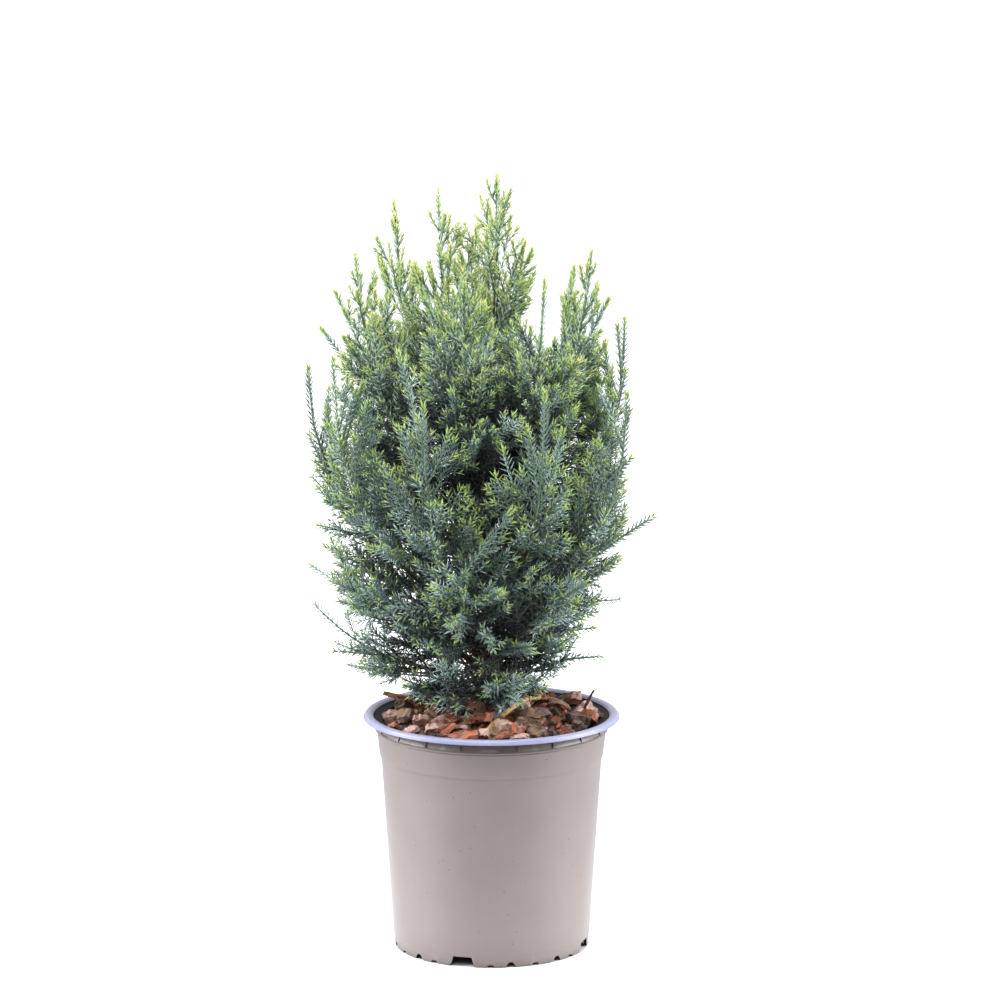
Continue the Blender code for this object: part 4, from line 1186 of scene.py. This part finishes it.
mulch = {
    "seed": 10,
    "bedHeight": 0.112,
    "bedDepth": 0.0065,
    "mound": 0.003,
    "backRise": 0.0012,             # how much higher the bed is behind
    "chips": 170,
    "crumbs": 380,
    "variants": 4,                  # of each shape
    "shapes": {                     # how a chip is broken and bent, as shares of its length and degrees
        "slab": {"width": 0.62, "thickness": 0.17, "rough": 0.035, "relief": 0.1, "breaks": 5,
                 "bend": (8, 40), "twist": (-18, 18), "taper": (-0.35, 0.15)},
        "block": {"width": 0.66, "thickness": 0.42, "rough": 0.05, "relief": 0.14, "breaks": 6,
                  "bend": (4, 18), "twist": (-12, 12), "taper": (-0.3, 0.1)},
        "curl": {"width": 0.34, "thickness": 0.1, "rough": 0.02, "relief": 0.05, "breaks": 2,
                 "bend": (80, 150), "twist": (-50, 50), "taper": (-0.4, 0.0)},
        "stick": {"width": 0.24, "thickness": 0.16, "rough": 0.025, "relief": 0.07, "breaks": 3,
                  "bend": (4, 22), "twist": (-20, 20), "taper": (-0.5, 0.0)},
    },
    "shapeShares": (0.42, 0.26, 0.16, 0.16),
    "chipShares": (0.3, 0.17, 0.33, 0.2),         # of the colours
    "crumbShares": (0.2, 0.12, 0.33, 0.35),
    "colours": {                    # in the cracks, on the faces, and where the outer bark is left on
        "rustChips": ((0.1, 0.022, 0.012), (0.46, 0.135, 0.062), (0.3, 0.165, 0.11)),
        "tanChips": ((0.15, 0.08, 0.062), (0.6, 0.37, 0.31), (0.36, 0.235, 0.19)),
        "brownChips": ((0.05, 0.03, 0.018), (0.27, 0.17, 0.095), (0.2, 0.11, 0.09)),
        "darkChips": ((0.014, 0.009, 0.008), (0.12, 0.075, 0.056), (0.085, 0.045, 0.04)),
    },
    # The chips that show in front: colour, shape, place, size, turn, tilt and roll
    "placed": (
        ("rustChips", "stick", (-0.048, 0.018, 0.124), (0.015, 0.0052, 0.0036), 172, -14, 20),
        ("darkChips", "block", (-0.045, 0.015, 0.1205), (0.012, 0.008, 0.007), 60, 25, 10),
        ("tanChips", "block", (-0.05, -0.003, 0.118), (0.01, 0.008, 0.007), 10, -12, 15),
        ("brownChips", "block", (-0.0425, -0.0065, 0.1185), (0.0135, 0.01, 0.0095), 70, 30, -10),
        ("rustChips", "slab", (-0.049, -0.0225, 0.118), (0.01, 0.006, 0.003), 125, 18, 25),
        ("tanChips", "slab", (-0.04, -0.033, 0.1185), (0.0085, 0.006, 0.0036), 20, -22, 10),
        ("tanChips", "slab", (-0.035, -0.0235, 0.119), (0.015, 0.009, 0.005), 84, 52, 0),
        ("tanChips", "stick", (-0.03, -0.038, 0.119), (0.01, 0.0068, 0.005), 95, 55, 0),
        ("brownChips", "slab", (-0.029, -0.02, 0.1195), (0.012, 0.0085, 0.0035), 40, 22, 30),
        ("rustChips", "slab", (-0.0205, -0.0205, 0.121), (0.0125, 0.0075, 0.0042), 5, -10, 30),
        ("rustChips", "stick", (-0.0215, -0.04, 0.1205), (0.0095, 0.0034, 0.0034), 28, -34, 0),
        ("tanChips", "slab", (-0.017, -0.031, 0.1195), (0.012, 0.007, 0.003), 158, 14, 12),
        ("rustChips", "slab", (-0.014, -0.0475, 0.119), (0.015, 0.007, 0.0032), 12, -10, 22),
        ("rustChips", "slab", (-0.0055, -0.024, 0.1215), (0.0165, 0.0095, 0.006), 176, 12, 30),
        ("rustChips", "stick", (-0.012, -0.028, 0.1195), (0.0075, 0.004, 0.0036), 85, 60, 0),
        ("tanChips", "block", (-0.0035, -0.044, 0.119), (0.0075, 0.0055, 0.005), 80, 40, 0),
        ("darkChips", "slab", (-0.018, 0.0, 0.1205), (0.011, 0.009, 0.006), 110, 30, 20),
        ("tanChips", "block", (0.0063, -0.0326, 0.1205), (0.0098, 0.008, 0.0065), 30, 0, 0),
        ("rustChips", "block", (0.0133, -0.0371, 0.12), (0.0082, 0.0072, 0.0062), 120, 10, 20),
        ("rustChips", "slab", (0.0063, -0.0475, 0.119), (0.0095, 0.0052, 0.0034), 8, -12, 20),
        ("tanChips", "slab", (0.014, -0.0488, 0.119), (0.0095, 0.005, 0.003), 175, 8, 20),
        ("brownChips", "slab", (0.018, -0.017, 0.122), (0.02, 0.011, 0.006), 150, 16, 30),
        ("brownChips", "block", (0.0235, -0.04, 0.119), (0.0095, 0.0085, 0.006), 15, -14, 22),
        ("brownChips", "curl", (0.0305, -0.032, 0.1195), (0.013, 0.006, 0.003), 98, 58, 0),
        ("rustChips", "stick", (0.036, -0.033, 0.1185), (0.007, 0.004, 0.0032), 20, -20, 0),
        ("darkChips", "block", (0.0435, -0.012, 0.12), (0.0135, 0.008, 0.0065), 20, 10, 0),
        ("darkChips", "block", (0.0435, -0.023, 0.1185), (0.0075, 0.006, 0.0055), 70, 0, 10),
        ("rustChips", "block", (0.05, -0.007, 0.1195), (0.011, 0.0085, 0.007), 70, 30, 0),
        ("darkChips", "slab", (0.0545, 0.0, 0.1185), (0.007, 0.005, 0.0035), 85, 35, 0),
        ("tanChips", "slab", (0.0405, 0.015, 0.124), (0.014, 0.01, 0.005), 160, 18, 30),
        ("brownChips", "curl", (0.025, 0.006, 0.1235), (0.014, 0.005, 0.0028), 150, 22, 20),
        ("brownChips", "curl", (0.035, 0.005, 0.1235), (0.015, 0.006, 0.003), 20, 24, 20),
        ("darkChips", "curl", (0.0275, -0.009, 0.122), (0.014, 0.005, 0.0026), 60, 14, 40),
        ("darkChips", "stick", (0.0495, 0.0085, 0.125), (0.012, 0.0022, 0.0014), 15, -62, 0),
    ),
    "stemEnds": ((-0.001, -0.035, 0.1195), (0.012, -0.005, 0.125), (0.0245, 0.011, 0.1255)),
    "stemRadius": (0.0016, 0.0011),
    "stemColours": ((0.3, 0.165, 0.055), (0.74, 0.52, 0.215)),
}


def mapGrain(piece, across, up, rng):
    # The grain runs along X, and starts at another place on each piece.
    grain = piece.data.uv_layers.new(name="grain")
    start = rng.uniform(0, 20)
    for loop in piece.data.loops:
        place = piece.data.vertices[loop.vertex_index].co
        grain.data[loop.index].uv = (place.x + start, across * place.y + up * place.z)
    return piece


def centred(piece):
    pick(piece)
    bpy.ops.object.origin_set(type="ORIGIN_GEOMETRY", center="BOUNDS")
    piece.location = (0, 0, 0)


def chipVariant(name, shape, rng):
    # A split flake of bark, lying along X and a unit across each way: drawn out along its fibres, broken
    # off at its edges by plane cuts, then bent and twisted.
    shrunk = 0.34
    chip = newPiece(name, bpy.ops.mesh.primitive_cube_add, size=1.0)
    edit(chip)
    bpy.ops.mesh.subdivide(number_cuts=5)
    bpy.ops.transform.resize(value=(shrunk, shape["thickness"], shape["width"]))
    endEdit()
    chip.location = [rng.uniform(-9, 9) for axis in "xyz"]
    settle(chip)
    roughen(chip, shape["relief"], 0.11, 2)
    centred(chip)
    edit(chip)
    bpy.ops.transform.resize(value=(1.0 / shrunk, 1, 1))
    bpy.ops.transform.vertex_random(offset=shape["rough"], uniform=1.0, seed=rng.randint(1, 999))
    for number in range(shape["breaks"]):
        angle = 2.0 * math.pi * (number + rng.uniform(-0.35, 0.35)) / shape["breaks"]
        normal = Vector((math.cos(angle), rng.uniform(-0.45, 0.45), math.sin(angle))).normalized()
        extent = abs(normal.x) * 0.5 + abs(normal.z) * 0.5 * shape["width"]
        bpy.ops.mesh.select_all(action="SELECT")
        bpy.ops.mesh.bisect(plane_co=normal * extent * rng.uniform(0.62, 0.92), plane_no=normal,
                            use_fill=True, clear_outer=True)
    endEdit()
    modify(chip, "SIMPLE_DEFORM", deform_method="TAPER", deform_axis="X", factor=rng.uniform(*shape["taper"]))
    for method, axis, limits in (("TWIST", "X", shape["twist"]), ("BEND", "Z", shape["bend"])):
        modify(chip, "SIMPLE_DEFORM", deform_method=method, deform_axis=axis,
               angle=math.radians(rng.uniform(*limits)))
    edit(chip)
    bpy.ops.transform.rotate(value=math.radians(90), orient_axis="X", orient_type="GLOBAL",
                             center_override=(0, 0, 0))
    endEdit(outwards=True)
    centred(chip)
    chip.scale = tuple(1.0 / max(side, 0.01) for side in chip.dimensions)
    settle(chip)
    return mapGrain(chip, 0.6, 0.4, rng)


def crumbVariant(name, rng):
    crumb = newPiece(name, bpy.ops.mesh.primitive_ico_sphere_add, subdivisions=1, radius=0.5)
    edit(crumb)
    bpy.ops.transform.vertex_random(offset=0.22, uniform=1.0, seed=rng.randint(1, 999))
    endEdit()
    return mapGrain(crumb, 1.0, 0.7, rng)


def chipMaterial(name, dark, light, outer):
    material, tree, shader = newMaterial(name, light, 0.72)
    grainMap = addNode(tree, "UVMap", uv_map="grain").outputs["UV"]
    grain = grainOf(tree, barkGroup, grainMap, fibreScale=12.0, patchScale=2.6, stretch=0.2)
    tint = noiseOf(tree, objectPlace(tree), 110.0, 2.0)
    shift = rangeOf(tree, tint, (0.3, 0.7), (-0.2, 0.22))
    mixed = mathOf(tree, "ADD", grain["Fibres"], shift, use_clamp=True)
    middle = tuple(0.35 * a + 0.65 * b for a, b in zip(dark, light))
    worn = tuple(1.5 * c for c in outer)
    faces = rampOf(tree, mixed, ((0.3, dark), (0.43, middle), (0.66, light)))
    skin = rampOf(tree, mixed, ((0.32, dark), (0.56, outer), (0.74, worn)))
    feed(shader, {
        "Base Color": mixOf(tree, rangeOf(tree, grain["Patches"], (0.48, 0.58)), faces, skin),
        "Normal": bumpOf(tree, grain["Height"], 0.9, 0.0007),
    })
    return material


def chipCopy(source, place, size, turn, tilt, roll):
    # A unit chip put in its place: turned about Z, its end raised by the tilt, rolled about its length.
    piece = linked("chipCopy", source.data.copy())
    matrix = Matrix.Translation(place)
    for angle, axis in ((turn, "Z"), (tilt, "Y"), (roll, "X")):
        matrix = matrix @ Matrix.Rotation(math.radians(angle), 4, axis)
    piece.data.transform(matrix @ Matrix.Diagonal((*size, 1.0)))
    return piece


def layChips(rim):
    # First the chips that show in front, then a spiral of chips and one of crumbs over the bed.
    rng = random.Random(mulch["seed"])
    shapes = mulch["shapes"]
    variants = {name: [chipVariant(f"{name}_{n}", shape, rng) for n in range(mulch["variants"])]
                for name, shape in shapes.items()}
    variants["crumb"] = [crumbVariant(f"crumb_{n}", rng) for n in range(5)]
    kinds = list(mulch["colours"])
    heaps = {kind: [] for kind in kinds}
    for number, (kind, shape, *lying) in enumerate(mulch["placed"]):
        heaps[kind].append(chipCopy(variants[shape][number % mulch["variants"]], *lying))

    def drop(shape, radius, azimuth, lift, size, swing, shares):
        place = polar(radius, azimuth, 0.0)
        # The bed is higher towards the middle and the back.
        mound = mulch["mound"] * (1.0 - (place.x * place.x + place.y * place.y) / rim ** 2)
        place.z = mulch["bedHeight"] + mound + mulch["backRise"] * place.y / rim + lift
        turns = (rng.uniform(0, 360), rng.gauss(0, swing[0]), rng.gauss(0, swing[1]))
        kind = rng.choices(kinds, weights=shares)[0]
        heaps[kind].append(chipCopy(rng.choice(variants[shape]), place, size, *turns))

    for index in range(mulch["chips"]):
        share = math.sqrt((index + 0.5) / mulch["chips"])
        shape = rng.choices(list(shapes), weights=mulch["shapeShares"])[0]
        length = rng.uniform(0.009, 0.018)
        radius = (rim - 0.42 * length) * share
        if radius < 0.009:
            continue
        lift = rng.uniform(0.0005, 0.0052)
        size = (length, length * shapes[shape]["width"] * rng.uniform(0.8, 1.2),
                length * (shapes[shape]["thickness"] + 0.12) * rng.uniform(0.7, 1.2))
        drop(shape, radius, index * goldenAngle, lift, size, (20, 26), mulch["chipShares"])
    for index in range(mulch["crumbs"]):
        share = math.sqrt((index + 0.5) / mulch["crumbs"])
        length = rng.uniform(0.0015, 0.0048)
        drop("crumb", (rim - 0.4 * length) * share, index * goldenAngle + 40.0, rng.uniform(0.0, 0.0045),
             (length, 0.6 * length, 0.5 * length), (30, 30), mulch["crumbShares"])
    for group in variants.values():
        for source in group:
            bpy.data.objects.remove(source, do_unlink=True)
    return heaps


def buildMulch():
    rim = innerRadius(mulch["bedHeight"]) - 0.001
    for kind, copies in layChips(rim).items():
        heap = joinPieces(kind, copies)
        paint(heap, chipMaterial(kind, *mulch["colours"][kind]))
        bpy.ops.object.shade_smooth_by_angle(angle=math.radians(24))
        finished(heap, "bark_chips", "bark_mulch")
        print("chips", kind, len(heap.data.polygons))

    # A dry stem among the chips
    low, middle, high = (Vector(place) for place in mulch["stemEnds"])
    thick, thin = mulch["stemRadius"]
    stem = limbAlong("dryStem", Shoot(low, 2 * middle - 0.5 * (low + high), high, thick, 0, ""), thin, 12, 10)
    straw = barkMaterial("strawStem", *mulch["stemColours"], 300.0, 0.6)
    barkPiece(stem, (0.0006, 0.0015), straw, "bark_chips")

    # The bed under the chips
    bed = newDisc("mulchBed", 72, rim, (0, 0, mulch["bedHeight"]))
    edit(bed)
    bpy.ops.mesh.extrude_region_move(TRANSFORM_OT_translate={"value": (0, 0, -mulch["bedDepth"])})
    endEdit(outwards=True)
    modify(bed, "REMESH", mode="VOXEL", voxel_size=0.0016)
    editFaces(bed, lambda centre, normal: centre.xy.length < 0.0016 and normal.z > 0.5)
    bpy.ops.transform.translate(value=(0, 0, mulch["mound"]), use_proportional_edit=True,
                                proportional_edit_falloff="SPHERE", proportional_size=rim)
    endEdit()
    roughen(bed, 0.0022, 0.0035)
    paint(bed, barkMaterial("crumblyBark", (0.014, 0.009, 0.007), (0.085, 0.045, 0.03), 300.0, 0.9))
    finished(bed, "bark_chips")
    paint(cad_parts["compost"],
          barkMaterial("compostFill", (0.01, 0.007, 0.005), (0.05, 0.032, 0.024), 240.0, 0.95))
    print("mulch ready")


buildStudio()
buildPot()
boughs, stems = growLeaders()
buildFoliage(growPlant(boughs, stems))
buildLimbs(boughs)
buildMulch()
